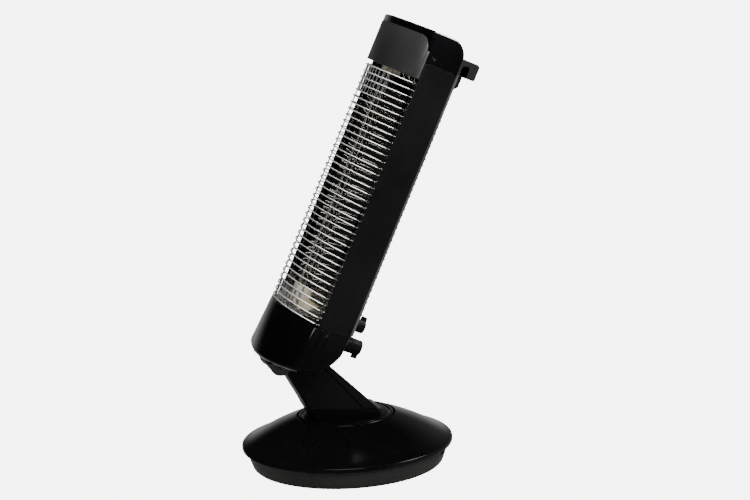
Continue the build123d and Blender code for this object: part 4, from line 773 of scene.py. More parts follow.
# ---------------------------------------------------------------- head
class HEATER_OT_caps(Operator):
    """Glossy caps at the head's two ends."""
    bl_idname = "heater.caps"
    bl_label = "End caps"

    wall = 2.0
    corner = 4.0
    rear_chamfer = 1.2
    heel = 45.0
    heel_v = -4.5
    heel_s = -7.6
    rise = 49.9
    nose_round = 9.0
    side_round = 1.6
    low_top = 0.0
    high_low = 323.3
    head_top = 360.0
    rear_round = 20.0
    high_round = 2.4
    visor_top = 351.8
    visor_end = -0.9
    visor_gap = 1.1
    slot_half = 25.3
    slot_front = -17.7
    slot_rear = 12.0
    bay_half = 17.0
    bay_front = 33.0
    plate_end = 40.2

    def plan(self, side_v):
        """Plan outline from the front's middle round the right to the rear's middle and back by the
        left: arc, corner arc, straight side and a cut corner. Returns points and outward normals."""
        reach = FRONT_RADIUS - self.corner
        middle = FRONT_RADIUS - FRONT_LEAD - FRONT_SAG
        turn = math.asin((HALF_WIDTH - self.corner) / reach)
        at_x, at_v = reach * math.sin(turn), middle - reach * math.cos(turn)
        angle = turn * (np.arange(26) + 0.5) / 26
        arc = np.column_stack([FRONT_RADIUS * np.sin(angle), middle - FRONT_RADIUS * np.cos(angle)])
        bent = np.linspace(turn, math.pi / 2, 8)
        corner = np.column_stack([at_x + self.corner * np.sin(bent), at_v - self.corner * np.cos(bent)])
        facing = np.concatenate([angle, bent])
        side_v = np.asarray(side_v, float)
        side = np.column_stack([np.full(len(side_v), HALF_WIDTH), side_v])
        cut = self.rear_chamfer
        rear = np.array([(HALF_WIDTH, PANEL_DEPTH - cut), (HALF_WIDTH - cut, PANEL_DEPTH)])
        points = np.concatenate([arc, corner, side, rear])
        normals = np.concatenate([np.column_stack([np.sin(facing), -np.cos(facing)]),
                                  np.tile((1.0, 0.0), (len(side), 1)), [(1.0, 1.0), (1.0, 1.0)]])
        return [np.concatenate([half, half[::-1] * (-1.0, 1.0)]) for half in (points, normals)]

    def under(self, v):
        """The underside over v and its inward normal: a level line, then the heel's arc."""
        line = (v * math.sin(LEAN) - self.rise) / math.cos(LEAN)
        past = np.clip((v - self.heel_v) / self.heel, math.sin(LEAN), 1)
        heel = self.heel_s - self.heel * np.sqrt(1 - past ** 2)
        s = np.where(past > math.sin(LEAN), heel, line)
        return s, np.stack([-past, np.sqrt(1 - past ** 2)], -1)

    def low_ring(self, points, normals, inset, lift):
        """The outline moved in by inset, laid on the underside and raised along its normal by lift."""
        inset, lift = np.asarray(inset, float), np.asarray(lift, float)
        x, v = (points - normals * inset[..., None]).T
        s, inward = self.under(v)
        return np.column_stack([x, v + inward[:, 0] * lift, s + inward[:, 1] * lift])

    def bottom(self):
        """Sleeve of the bottom cap: round rim r (1 - cos a), r (1 - sin a), wide at the nose and
        narrow at the sides, then walls up to the panels, and the same inside a wall's thickness."""
        line = np.linspace(1.0, 15.0, 6)
        heel = self.heel_v + self.heel * np.sin(np.linspace(LEAN, math.radians(76), 18))[1:]
        points, normals = self.plan(np.concatenate([line, heel]))
        fade = np.clip((points[:, 1] + 6) / 22, 0, 1)
        rim = self.nose_round + (self.side_round - self.nose_round) * fade ** 2 * (3 - 2 * fade)
        rings = []
        for angle in np.linspace(math.pi / 2, 0, 7):
            rings.append(self.low_ring(
                points, normals, rim * (1 - math.cos(angle)), rim * (1 - math.sin(angle))))
        for inset, height in ((0, self.low_top - 0.5), (0.5, self.low_top), (self.wall, self.low_top)):
            moved = points - normals * inset
            rings.append(np.column_stack([moved, np.full(len(moved), height)]))
        full = np.full(len(points), self.wall)
        rings.append(self.low_ring(points, normals, full, rim + 1.5))
        rings.append(self.low_ring(points, normals, np.maximum(rim, self.wall), full))
        return np.stack(rings)

    def bottom_plates(self, edge):
        """The underside's plates round the hinge's slot: strips that follow the underside's line, one
        on each side of the slot, one on each side of the timer's bay and one behind the slot."""
        inside = len(edge) // 2
        strips = [(self.slot_half, self.slot_front + 1.5, self.slot_rear),
                  (self.bay_half, self.slot_rear, self.plate_end), (0.0, self.slot_rear, self.bay_front)]
        grids = []
        for near, start, end in strips:
            ends = [math.asin((edge_v - self.heel_v) / self.heel) for edge_v in (start, end)]
            v = self.heel_v + self.heel * np.sin(np.linspace(*ends, 12))
            s, inward = self.under(v)
            far = np.maximum(np.interp(v, edge[:inside, 1], edge[:inside, 0]), near + 0.5)
            if near == 0:
                near, far = -self.bay_half, np.full(12, self.bay_half)
            corners = [(far, 0.1), (far, self.wall), (near, self.wall), (near, 0.1)]
            strip = np.stack([
                np.column_stack([x + 0 * v, v + inward[:, 0] * lift, s + inward[:, 1] * lift])
                for x, lift in corners], 1)
            grids.append(strip)
            if near > 0:
                grids.append(strip * (-1, 1, 1))
        return grids

    def over(self, v):
        """The top over v: flat, then the rear's quarter circle."""
        past = np.clip(v - (PANEL_DEPTH - self.rear_round), 0, self.rear_round)
        return self.head_top - self.rear_round + np.sqrt(np.maximum(self.rear_round ** 2 - past ** 2, 0))

    def top(self):
        """Closed cap, from the inside out: a surface a wall's thickness in, the low rim, a wall set
        back behind the visor, the ledge over it, a round rim and the top."""
        turn = np.sin(np.linspace(0, math.radians(72), 12))[1:]
        back = PANEL_DEPTH - self.rear_round + self.rear_round * turn
        points, normals = self.plan(np.concatenate([
            [self.visor_end - 0.05, self.visor_end + 0.05, 6, 13, 20.4], back]))
        behind = (points[:, 1] < self.visor_end).astype(float) * self.visor_gap
        rings = []

        def ring(inset, height, drop):
            """The outline moved in by inset at a height, or drop under the top where that is lower."""
            moved = points - normals * np.asarray(inset, float)[..., None]
            limit = self.over(moved[:, 1]) - drop
            return np.column_stack([moved, np.minimum(height, limit)])

        inner = np.full(len(points), self.wall + self.visor_gap)
        rings.append(ring(inner + 2, 1e6, self.wall))
        rings.append(ring(inner, 1e6, self.wall + 2))
        rings.append(ring(inner, self.high_low, self.wall + 2.5))
        rings.append(ring(behind + 0.4, self.high_low, 4.0))
        rings.append(ring(behind, self.high_low + 0.4, 3.6))
        rings.append(ring(behind, self.visor_top, 3.2))
        rings.append(ring(0 * behind, self.visor_top + 0.1, 3.0))
        for angle in np.linspace(0, math.pi / 2, 6):
            inset = self.high_round * (1 - math.cos(angle))
            rings.append(ring(inset + 0 * behind, 1e6, self.high_round * (1 - math.sin(angle))))
        return np.stack(rings)

    def execute(self, context):
        sleeve = self.bottom()
        plates = self.bottom_plates(sleeve[1])
        make_piece("bottom_cap_skin", [sleeve, *plates], "gloss_moulding", ["bottom_cap"],
                   closed_rows=[True] + [False] * len(plates), sharp=45)
        make_piece("top_cap_skin", [self.top()], "gloss_moulding", ["top_cap"],
                   sharp=45, ladder=True)
        return {"FINISHED"}


class HEATER_OT_side_panels(Operator):
    """Bent side panels with rounded front and rear edges."""
    bl_idname = "heater.side_panels"
    bl_label = "Side panels"

    low = 0.3
    high = 322.7
    sheet = 1.6
    flange = 8.0
    bends = (1.4, 2.2, 0.3, 0.3, 0.6, 0.6, 0.3, 0.3)
    end_round = 0.35

    def execute(self, context):
        outer, inner = HALF_WIDTH, HALF_WIDTH - self.sheet
        turned_in = HALF_WIDTH - self.flange
        front, rear = self.sheet, PANEL_DEPTH - self.sheet
        corners = [(outer, 0), (outer, PANEL_DEPTH), (turned_in, PANEL_DEPTH), (turned_in, rear),
                   (inner, rear), (inner, front), (turned_in, front), (turned_in, 0)]
        outline = rounded(corners, self.bends, 7)
        for side, name in ((-1, "side_panel_left"), (1, "side_panel_right")):
            grid = slab(outline, self.low, self.high, self.end_round)
            grid[..., 0] *= side
            make_piece(name + "_skin", [grid], "satin_paint", [name], sharp=50)
        return {"FINISHED"}


class HEATER_OT_visor(Operator):
    """Curved plate over the top of the guard."""
    bl_idname = "heater.visor"
    bl_label = "Visor"

    low = 302.9
    high = 351.5
    corner = 16.0
    proud = 0.6
    sheet = 1.5
    end = -1.0

    def plan(self, offset):
        """Bow with its two ends turned back: an arc between short straight sides, as (x, v)."""
        half = HALF_WIDTH + offset
        bow = np.linspace(-half + 1.2, half - 1.2, 61)
        arc = np.column_stack([bow, -front_depth(bow, -offset)])
        lead = -float(front_depth(HALF_WIDTH - 0.5))
        side = np.array([(-half, self.end), (-half, lead + 1.4), (-half + 0.25, lead + 0.5)])
        return np.concatenate([side, arc, side[::-1] * (-1, 1)])

    def execute(self, context):
        outer, inner = self.plan(self.proud), self.plan(self.proud - self.sheet)
        half = HALF_WIDTH + self.proud
        past = np.clip(np.abs(outer[:, 0]) - (half - self.corner), 0, self.corner)
        top = self.high - self.corner + np.sqrt(self.corner ** 2 - past ** 2)
        # Ten points round the sheet's section: share of its thickness, and height past its two edges.
        across = np.array([0.5, 0.15, 0.0, 0.0, 0.15, 0.5, 0.85, 1.0, 1.0, 0.85])
        level = np.array([0.0, 0.35, 0.8, -0.8, -0.35, 0.0, -0.35, -0.8, 0.8, 0.35])
        upper = np.array([0, 0, 0, 1, 1, 1, 1, 1, 0, 0])
        share = across[None, :, None]
        plan = outer[:, None, :] * (1 - share) + inner[:, None, :] * share
        height = np.where(upper[None, :] == 1, top[:, None], self.low) + level[None, :]
        grid = np.concatenate([plan, height[..., None]], -1)
        make_piece("visor_skin", [grid], "graphite_paint", ["visor"], sharp=60)
        return {"FINISHED"}


class HEATER_OT_rear(Operator):
    """Louvred rear cover, control housing and the block under the grip."""
    bl_idname = "heater.rear"
    bl_label = "Rear cover"

    louvres = 32
    louvre_first = 25.0
    louvre_pitch = 7.75
    louvre_half = 65.0
    louvre_lift = 5.6
    louvre_height = 5.2
    louvre_reach = 3.3
    hood_sink = 0.1
    hood_back = 0.7
    block_half = 30.0
    block = ((REAR_FACE, 323.9), (69.6, 323.9), (69.6, 311.0), (64.6, 306.0), (REAR_FACE, 300.0))
    block_rounds = (0.4, 1.2, 3.0, 3.0, 0.4)
    block_end_round = 1.2

    def hoods(self):
        """Pressed hoods: height over the sheet = reach sin(pi t^1.4) over the slot's width t, dying
        away at both ends of its length u as sqrt(1 - u^16)."""
        u = np.sin(np.linspace(-math.pi / 2, math.pi / 2, 13))
        t = np.array([0.0, 0.3, 0.62, 0.85, 1.0])
        swell = np.sqrt(np.maximum(1 - np.abs(u) ** 16, 0))
        height = self.louvre_reach * np.sin(math.pi * t[None, :] ** 1.4) * swell[:, None]
        along = np.broadcast_to(u[:, None] * self.louvre_half, height.shape)
        grids = []
        for low in self.louvre_first + self.louvre_pitch * np.arange(self.louvres):
            s = low + self.louvre_lift - self.louvre_height * t[None, :] + 0 * height
            outer = np.stack([along, REAR_FACE - self.hood_sink + height, s], -1)
            inner = np.stack([along, REAR_FACE - self.hood_back + 0 * height, s], -1)
            grids.append(np.concatenate([outer, inner[:, ::-1]], 1))
        return grids

    def execute(self, context):
        softened("rear_cover", "satin_paint", FINE_EDGE, sharp=28)
        make_piece("louvre_hoods", self.hoods(), "satin_paint", [], sharp=50)
        softened("control_box", "grained_plastic", HOUSING_EDGE)
        outline = rounded(self.block, self.block_rounds, 6)
        grid = slab(outline, -self.block_half, self.block_half, self.block_end_round)[..., [2, 0, 1]]
        make_piece("handle_block_skin", [grid], "grained_plastic", ["handle_block"])
        return {"FINISHED"}


class HEATER_OT_handle(Operator):
    """Hooked grip, its outline carried across the head with rounded ends."""
    bl_idname = "heater.handle"
    bl_label = "Grip"

    half = 35.0
    top = 343.8
    bottom = 324.0
    root = 66.5
    lip = 71.0
    outer = 83.5
    slot_top = 336.0
    rounds = (0.4, 0.4, 4.0, 2.4, 1.0, 1.6, 1.6, 1.0)
    end_round = 1.3

    def execute(self, context):
        corners = [(REAR_FACE, self.bottom), (REAR_FACE, self.top), (self.outer, self.top),
                   (self.outer, self.bottom), (self.lip, self.bottom), (self.lip, self.slot_top),
                   (self.root, self.slot_top), (self.root, self.bottom)]
        outline = rounded(corners, self.rounds, 8)
        grid = slab(outline, -self.half, self.half, self.end_round, steps=5)[..., [2, 0, 1]]
        make_piece("handle_skin", [grid], "grip_plastic", ["handle"])
        return {"FINISHED"}


# ---------------------------------------------------------------- guard
class HEATER_OT_guard(Operator):
    """Welded guard: bowed cross wires, long stays, edge stays and the short stubs at both ends."""
    bl_idname = "heater.guard"
    bl_label = "Wire guard"

    count = 38
    pitch = 7.93
    lowest = 3.3
    stay_x = 47.5
    stay_end = 2.0
    stub_spacing = 11.0
    stub_rows_low = 3
    stub_rows_high = 5
    stubs_a_side = 4
    weld = 0.25
    corner = 3.2
    edge_gap = 1.0
    edge_depth = 2.8

    def bow(self, radius):
        """Plan line of one wire: straight side, a quadratic corner, the arc, and the same back."""
        half = HALF_WIDTH - radius
        x = np.linspace(-half + self.corner, half - self.corner, 33)
        arc = np.column_stack([x, radius - front_depth(x)])
        corner = np.array([-half, radius - float(front_depth(half)) - 0.3])
        curve = round_corner(corner + (0, self.corner), corner, arc[0], 6)
        side = np.concatenate([[(-half, -0.15)], curve[:-1]])
        return np.concatenate([side, arc, side[::-1] * (-1, 1)])

    def execute(self, context):
        radius = context.scene.heater_sizes.wire_diameter / MM / 2
        bow = self.bow(radius)
        heights = self.lowest + self.pitch * np.arange(self.count)
        low, high = heights[0] - self.stay_end, heights[-1] + self.stay_end
        grids = [wire(np.column_stack([bow, np.full(len(bow), s)]), radius, (0, 0, 1)) for s in heights]
        stubs = np.arange(-self.stubs_a_side, self.stubs_a_side + 1) * self.stub_spacing
        runs = [(x, low, high) for x in (-self.stay_x, self.stay_x)]
        runs += [(x, low, heights[self.stub_rows_low]) for x in stubs]
        runs += [(x, heights[-self.stub_rows_high], high) for x in stubs]
        runs = [(x, 3 * radius - self.weld - float(front_depth(x)), start, end) for x, start, end in runs]
        edge = HALF_WIDTH - 3 * radius - self.edge_gap
        runs += [(x, self.edge_depth, low, high) for x in (-edge, edge)]
        for x, depth, start, end in runs:
            path = [(x, depth, s) for s in np.linspace(start, end, 3)]
            grids.append(wire(path, radius, (1, 0, 0)))
        make_piece("guard_wires", grids, "bright_chrome", ["guard"], sharp=60)
        return {"FINISHED"}


# ---------------------------------------------------------------- lamp
class HEATER_OT_lamp(Operator):
    """Quartz tube, the coiled heating wire in it and the ceramic ends."""
    bl_idname = "heater.lamp"
    bl_label = "Lamp"

    tube_low = 18.0
    tube_high = 308.0
    tube_radius = 7.5
    tube_wall = 1.2
    coil_radius = 3.3
    coil_wire = 0.55
    coil_inset = 6.0
    holder_half = 9.5
    holder_length = 22.0
    holder_corner = 1.6
    holder_round = 0.9
    grip = 12.0

    def coil(self, pitch):
        """A helix (r cos a, r sin a, pitch a / 2 pi) with a round wire on its own two normals."""
        turns = int((self.tube_high - self.tube_low - 2 * self.coil_inset) / pitch)
        angle = np.linspace(0, 2 * math.pi * turns, 14 * turns)
        rise = self.tube_low + self.coil_inset + pitch * angle / (2 * math.pi)
        outward = np.column_stack([np.cos(angle), np.sin(angle), np.zeros_like(angle)])
        path = self.coil_radius * outward + np.column_stack([0 * rise, TUBE_DEPTH + 0 * rise, rise])
        side = np.cross(headings(path), outward)
        turn = circle(5)[None, :, None]
        ring = np.cos(turn) * outward[:, None] + np.sin(turn) * side[:, None]
        return path[:, None] + self.coil_wire * ring

    def execute(self, context):
        pitch = context.scene.heater_sizes.coil_pitch / MM
        make_piece("heating_coil", [self.coil(pitch)], "heating_wire",
                   ["heating_element"], sharp=80)
        inner, outer = self.tube_radius - self.tube_wall, self.tube_radius
        wall = [(inner, self.tube_low), (outer, self.tube_low),
                (outer, self.tube_high), (inner, self.tube_high)]
        make_piece("quartz_tube_skin", [turned(wall, 40, (0, TUBE_DEPTH))], "quartz",
                   ["quartz_tube"], closed_rows=True, sharp=60)
        half = self.holder_half
        outline = rounded(
            rectangle(half, TUBE_DEPTH - half, TUBE_DEPTH + half), self.holder_corner, 6)
        grids = []
        for mouth, way in ((self.tube_low + self.grip, -1), (self.tube_high - self.grip, 1)):
            far = mouth + way * self.holder_length
            grids.append(slab(outline, min(mouth, far), max(mouth, far), self.holder_round))
        make_piece("ceramic_ends", grids, "ceramic", ["ceramic_holders"])
        return {"FINISHED"}


class HEATER_OT_reflector(Operator):
    """Polished trough behind the lamp, its folds rounded as rolled sheet, and its lower end flap."""
    bl_idname = "heater.reflector"
    bl_label = "Reflector"

    low = 34.0
    high = 292.0
    # corners of the trough's right half, from its edge to the middle
    trough = ((90.7, 4.4), (69.112, 12.6), (41.04, 23.6), (13.68, 28.6))
    fold = 0.3
    sheet = 0.8
    flap_half = 88.0
    flap_inset = 5.5
    flap_low = 2.4
    flap_sheet = 0.9

    def execute(self, context):
        right = np.array(self.trough)
        corners = np.concatenate([right, (right * (-1, 1))[::-1]])
        pull = self.fold
        folds = [round_corner(here + (before - here) * pull, here, here + (after - here) * pull, 7)
                 for before, here, after in zip(corners, corners[1:], corners[2:])]
        line = np.concatenate([corners[:1], *folds, corners[-1:]])
        grid = slab(ribbon(line, self.sheet), self.low, self.high, 0.05, steps=2)
        make_piece("reflector_skin", [grid], "polished_sheet", ["reflector"],
                   sharp=50)
        # The lower end flap takes the paler copy of the sheet, a painted highlight.
        make_piece("reflector_lower_end_skin", [self.flap(line)], "painted_lit_sheet",
                   ["reflector_lower_end"], sharp=50)
        return {"FINISHED"}

    def flap(self, line):
        """Sheet from the trough's low edge forward to the bottom cap's front: straight lines between
        the trough's line and the front's arc, p = (1 - t) trough + t front."""
        line = line[(np.abs(line[:, 0]) < self.flap_half + 0.1)]
        x = np.linspace(-self.flap_half, self.flap_half, 33)
        rear_v = np.interp(x, line[::-1, 0], line[::-1, 1])
        front_v = self.flap_inset - front_depth(x)
        t = np.linspace(0, 1, 5)[None, :]
        v = rear_v[:, None] * (1 - t) + front_v[:, None] * t
        s = (self.low - 0.6) * (1 - t) + self.flap_low * t + 0 * v
        across = x[:, None] + 0 * v
        outer = np.stack([across, v, s], -1)
        inner = np.stack([across, v, s - self.flap_sheet], -1)
        return np.concatenate([outer, inner[:, ::-1]], 1)


# ---------------------------------------------------------------- controls and fasteners
class HEATER_OT_knobs(Operator):
    """Two ribbed knobs with pointer bars."""
    bl_idname = "heater.knobs"
    bl_label = "Knobs"

    back = CONTROL_FACE + 1.0
    draft = math.tan(math.radians(1.5))
    rib = 0.22
    low_round = 0.6
    high_round = 1.2
    pointer_half = 2.0
    pointer_reach = 3.6
    pointer_depth = 7.0
    pointer_corner = 1.0
    pointer_round = 0.7
    # name, body, place up the head, radius, face, and the pointer's way
    knobs = (("heat_knob", "heat_control", 8.0, 8.5, 83.7, 1),
             ("timer_knob", "timer_control", -17.0, 9.8, 89.2, -1))

    def grip(self, radius, length, ribs):
        """Turned knob whose side ripples: r = taper(h) - rib (1 - cos n a) / 2, with round rims."""
        t = np.linspace(0, math.pi / 2, 5)
        low, high = self.low_round, self.high_round
        inset = np.concatenate([[radius], low * (1 - np.sin(t)), high * (1 - np.cos(t)), [2.2, radius]])
        height = np.concatenate([
            [0], low * (1 - np.cos(t)), length - high + high * np.sin(t), [length, length]])
        ripple = np.concatenate([[0, 0], np.ones(8), [0.2, 0, 0]])
        angle = circle(ribs * 8)
        wave = self.rib * (1 - np.cos(ribs * angle)) / 2
        size = np.clip(radius - inset - height * self.draft, 0, None)[:, None]
        size = np.maximum(size - ripple[:, None] * wave[None, :], 0)
        height = np.repeat(height[:, None], len(angle), 1)
        return np.stack([size * np.cos(angle), size * np.sin(angle), height], -1)

    def pointer(self, radius, length, way):
        """A bar across the face, past the rim at one end: a rounded rectangle carried through its
        depth."""
        outline = rounded(
            rectangle(self.pointer_half, -radius + 1, radius + self.pointer_reach), self.pointer_corner, 5)
        grid = slab(outline, length - self.pointer_depth, length, self.pointer_round)
        grid[..., 1] *= way
        return grid

    def execute(self, context):
        ribs = context.scene.heater_sizes.knob_ribs
        for name, body, s, radius, face, way in self.knobs:
            length = face - self.back
            grids = [self.grip(radius, length, ribs), self.pointer(radius, length, way)]
            shifted = [np.stack([-g[..., 0], g[..., 2] + self.back, g[..., 1] + s], -1) for g in grids]
            make_piece(name + "_skin", shifted, "grained_plastic", [name],
                       body=body, sharp=55)
        return {"FINISHED"}


class HEATER_OT_side_screws(Operator):
    """Domed screws in the recesses of the end caps."""
    bl_idname = "heater.side_screws"
    bl_label = "Side screws"

    places = ((13.1, -4.7), (7.6, 329.5))
    head = 3.6
    dome = 1.3
    seat = 94.0
    shank = 1.9
    shank_length = 8.0
    cross_half = 0.45
    cross_reach = 1.9
    cross_depth = 0.8

    def screw(self):
        """A dome h = dome (1 - r^2 / R^2) with a cross pressed in where |x| or |y| is small."""
        radius = np.linspace(self.head, 0, 22)[:, None]
        angle = circle(64)[None, :]
        x, y = radius * np.cos(angle), radius * np.sin(angle)
        height = self.dome * (1 - (radius / self.head) ** 2) + 0 * angle
        arm = np.minimum(np.abs(x), np.abs(y))
        pressed = np.clip((self.cross_half - arm) / 0.2, 0, 1)
        pressed *= np.clip((self.cross_reach - radius) / 0.3, 0, 1)
        dome = np.stack([x, y, height - self.cross_depth * pressed], -1)
        under = turned([(0, -self.shank_length), (self.shank, -self.shank_length),
                        (self.shank, 0), (self.head, 0)], 64)
        return np.concatenate([under, dome[1:]])

    def execute(self, context):
        across, up, out = np.moveaxis(self.screw(), -1, 0)
        grids = [np.stack([side * (self.seat + out), v + across, s + up], -1)
                 for v, s in self.places for side in (-1, 1)]
        make_piece("side_screws_skin", grids, "bright_chrome", ["side_screws"], sharp=35)
        return {"FINISHED"}


# Finishes of the pieces that keep their own mesh. bearing_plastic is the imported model's own plain
# finish, as bracket_paint on the hinge bracket is; the others are made above.
INNER_FINISHES = {
    "cast_weight": ("ballast_plate",),
    "rubber": ("foot_ring",),
    "bearing_plastic": ("swivel_bush", "friction_washers"),
    "plated_steel": (
        "base_screws", "swivel_retainer", "retainer_screws", "neck_screws", "tube_brackets", "heat_shield",
        "chassis_rails", "handle_screws", "thermal_cutout", "heat_shaft", "timer_shaft"),
    "blackened_steel": ("bracket_screws", "hinge_pin", "hinge_nut"),
    "polished_sheet": ("reflector_upper_end",),
    "ceramic": ("heat_switch", "terminal_block"),
    "grained_plastic": ("timer", "tilt_switch"),
}


class HEATER_OT_inner_parts(Operator):
    """Finishes for the pieces that keep their own mesh."""
    bl_idname = "heater.inner_parts"
    bl_label = "Inner parts"

    def execute(self, context):
        for material, nodes in INNER_FINISHES.items():
            for node in nodes:
                coat_with(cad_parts[node].data, material)
        return {"FINISHED"}


# ---------------------------------------------------------------- stage
MIDDLE = (0.0, 0.0, 0.28)


class HEATER_OT_stage(Operator):
    """Floor, studio lights, surround and camera."""
    bl_idname = "heater.stage"
    bl_label = "Stage"

    camera_place = (2.611, -0.675, 0.831)
    yaw = math.radians(74.585)
    pitch = math.radians(12.017)
    roll = math.radians(-2.642)
    far_wall = (-0.93, 0.2, -0.31)
    wall_fade = (0.78, 0.98)
    low_glow = (0.012, 0.06)
    rear_glow = 0.14
    floor_half = 6.0
    low_share = 0.08

    def floor(self, strength):
        """A white sweep: the camera sees it evenly lit, and matt surfaces get its light."""
        half = self.floor_half
        mesh = bpy.data.meshes.new("floor")
        corners = [(-half, -half, 0), (half, -half, 0), (half, half, 0), (-half, half, 0)]
        mesh.from_pydata(corners, [], [(0, 1, 2, 3)])
        material = bpy.data.materials.new("pale_floor")
        material.use_nodes = True
        tree = material.node_tree
        shader = tree.nodes["Principled BSDF"]
        shader.inputs["Base Color"].default_value = (0.9, 0.9, 0.9, 1)
        shader.inputs["Roughness"].default_value = 0.9
        shader.inputs["Specular IOR Level"].default_value = 0.0
        white = tree.nodes.new("ShaderNodeEmission")
        white.inputs["Strength"].default_value = strength
        seen = tree.nodes.new("ShaderNodeLightPath").outputs["Is Camera Ray"]
        mixed = shader_mix(tree, seen, shader.outputs["BSDF"], white.outputs["Emission"])
        tree.links.new(mixed, tree.nodes["Material Output"].inputs["Surface"])
        mesh.materials.append(material)
        floor = add_object("floor", mesh)
        floor.visible_glossy = False

    def light(self, name, power, place, size, aim=MIDDLE, mirrored=True, only=()):
        """An area light; mirrored=False keeps it out of the gloss, and only names what it lights."""
        data = bpy.data.lights.new(name, "AREA")
        data.shape = "RECTANGLE"
        data.energy = power
        data.size, data.size_y = size
        lamp = add_object(name, data)
        back = np.array(place) - aim
        back /= np.linalg.norm(back)
        right = np.cross((0, 0, 1), back)
        right /= np.linalg.norm(right)
        lamp.matrix_world = self.matrix(right, np.cross(back, right), back, place)
        lamp.visible_glossy = mirrored
        if only:
            lit = bpy.data.collections.new(name + "_lights")
            for piece in only:
                lit.objects.link(bpy.data.objects[piece])
            lamp.light_linking.receiver_collection = lit

    @staticmethod
    def matrix(right, up, back, place):
        """A 4 x 4 matrix whose columns are the three axes and the place."""
        columns = np.eye(4)
        columns[:3] = np.column_stack([right, up, back, place])
        return Matrix(columns.tolist())

    def camera(self, lens):
        """The photo's view: the camera looks along -back, where back points from the heater by its yaw
        and pitch, and rolls about it."""
        back = np.array((math.sin(self.yaw) * math.cos(self.pitch),
                         -math.cos(self.yaw) * math.cos(self.pitch), math.sin(self.pitch)))
        level = np.array((math.cos(self.yaw), math.sin(self.yaw), 0.0))
        above = np.cross(back, level)
        right = math.cos(self.roll) * level + math.sin(self.roll) * above
        up = math.cos(self.roll) * above - math.sin(self.roll) * level
        data = bpy.data.cameras.new("camera")
        data.sensor_width, data.lens, data.clip_start = 36.0, lens, 0.05
        camera = add_object("camera", data)
        camera.matrix_world = self.matrix(right, up, back, self.camera_place)
        bpy.context.scene.camera = camera

    def surround(self, settings):
        """White for the camera and for matt surfaces. In the gloss it is dark but for one far wall on
        the heater's left, a faint glow from below and one at the rear, so only grazing edges light up."""
        world = bpy.data.worlds.new("studio")
        bpy.context.scene.world = world
        world.use_nodes = True
        tree = world.node_tree
        tree.nodes.clear()
        path = tree.nodes.new("ShaderNodeLightPath")
        direction = tree.nodes.new("ShaderNodeTexCoord").outputs["Generated"]
        parts = tree.nodes.new("ShaderNodeSeparateXYZ")
        tree.links.new(direction, parts.inputs["Vector"])
        toward = tree.nodes.new("ShaderNodeVectorMath")
        toward.operation = "DOT_PRODUCT"
        toward.inputs[1].default_value = self.far_wall
        tree.links.new(direction, toward.inputs[0])
        far = map_node(tree, toward.outputs["Value"], *self.wall_fade, 0.0, 1.0, smooth=True)
        wall = math_node(tree, "MULTIPLY", far, settings.horizon)
        below = map_node(tree, parts.outputs["Z"], 0.0, -0.7, *self.low_glow, smooth=True)
        rear = map_node(tree, parts.outputs["Y"], 0.2, 0.75, 0.0, self.rear_glow, smooth=True)
        level = map_node(tree, parts.outputs["Z"], 0.75, 0.25, 0.0, 1.0, smooth=True)
        gloss = math_node(tree, "ADD", math_node(tree, "ADD", wall, below),
                          math_node(tree, "MULTIPLY", rear, level))

        def background(strength):
            """White of an even or changing strength."""
            node = tree.nodes.new("ShaderNodeBackground")
            node.inputs["Color"].default_value = (1, 1, 1, 1)
            feed(tree, strength, node.inputs["Strength"])
            return node.outputs["Background"]

        matt = shader_mix(tree, path.outputs["Is Diffuse Ray"], background(gloss),
                          background(settings.surround))
        seen = shader_mix(tree, path.outputs["Is Camera Ray"], matt, background(settings.backdrop))
        output = tree.nodes.new("ShaderNodeOutputWorld")
        tree.links.new(seen, output.inputs["Surface"])

    def execute(self, context):
        settings = context.scene.heater_stage
        self.floor(settings.backdrop)
        self.surround(settings)
        guard, trim = ("guard_wires",), ("top_cap_skin", "visor_skin")
        self.light("key", settings.key_power, (2.1, 0.45, 1.7), (1.0, 1.0), mirrored=False)
        self.light("guard_high", settings.guard_power, (-1.1, -0.8, 1.9), (1.3, 1.3), only=guard)
        self.light("guard_low", settings.guard_power * self.low_share, (-1.8, -0.9, 0.7), (0.9, 0.9),
                   only=guard)
        self.light("edge_light", settings.edge_power, (0.0, 1.4, 1.9), (2.4, 0.9), only=trim)
        self.light("tray_light", settings.tray_power, (-1.0, -1.8, 0.2), (0.5, 0.3),
                   aim=(0.0, 0.0, 0.02), mirrored=False, only=("base_pan_skin",))
        self.light("rim", settings.rim_power, (0.15, 1.5, 1.8), (0.9, 0.7))
        self.light("top", settings.top_power, (1.5, -0.5, 1.8), (1.2, 0.5))
        self.camera(settings.lens)
        return {"FINISHED"}


# ---------------------------------------------------------------- panel and start
STEPS = (
    "finishes", "base", "turntable", "neck", "caps", "side_panels", "visor", "rear", "handle", "guard",
    "lamp", "reflector", "knobs", "side_screws", "inner_parts", "stage",
)


class HEATER_PT_panel(Panel):
    """Lists the heater's pieces and their settings."""
    bl_idname = "HEATER_PT_panel"
    bl_label = "Patio heater"
    bl_space_type = "VIEW_3D"
    bl_region_type = "UI"
    bl_category = "Heater"

    def draw(self, context):
        scene = context.scene
        for group in (scene.heater_sizes, scene.heater_colours, scene.heater_stage):
            for label in group.__annotations__:
                self.layout.prop(group, label)
        for step in STEPS:
            self.layout.operator("heater." + step)


CLASSES = (
    HeaterSizes, HeaterColours, HeaterStage, HEATER_OT_finishes, HEATER_OT_base, HEATER_OT_turntable,
    HEATER_OT_neck, HEATER_OT_caps, HEATER_OT_side_panels, HEATER_OT_visor, HEATER_OT_rear,
    HEATER_OT_handle, HEATER_OT_guard, HEATER_OT_lamp, HEATER_OT_reflector, HEATER_OT_knobs,
    HEATER_OT_side_screws, HEATER_OT_inner_parts, HEATER_OT_stage, HEATER_PT_panel,
)


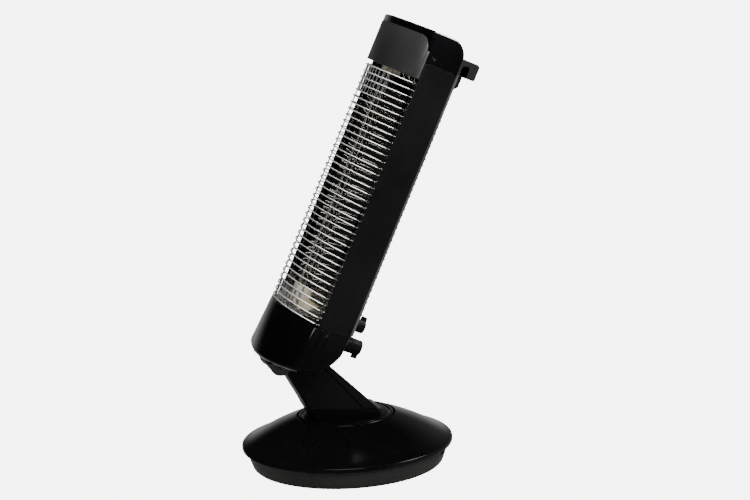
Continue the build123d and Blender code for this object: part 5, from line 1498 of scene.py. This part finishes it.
def register():
    """Registers every class and hangs the settings on the scene."""
    for entry in CLASSES:
        bpy.utils.register_class(entry)
    bpy.types.Scene.heater_sizes = PointerProperty(type=HeaterSizes)
    bpy.types.Scene.heater_colours = PointerProperty(type=HeaterColours)
    bpy.types.Scene.heater_stage = PointerProperty(type=HeaterStage)


def unregister():
    """Takes the settings and classes away again."""
    del bpy.types.Scene.heater_stage
    del bpy.types.Scene.heater_colours
    del bpy.types.Scene.heater_sizes
    for entry in reversed(CLASSES):
        bpy.utils.unregister_class(entry)


def main():
    register()
    for step in STEPS:
        getattr(bpy.ops.heater, step)()


if __name__ == "__main__":
    main()
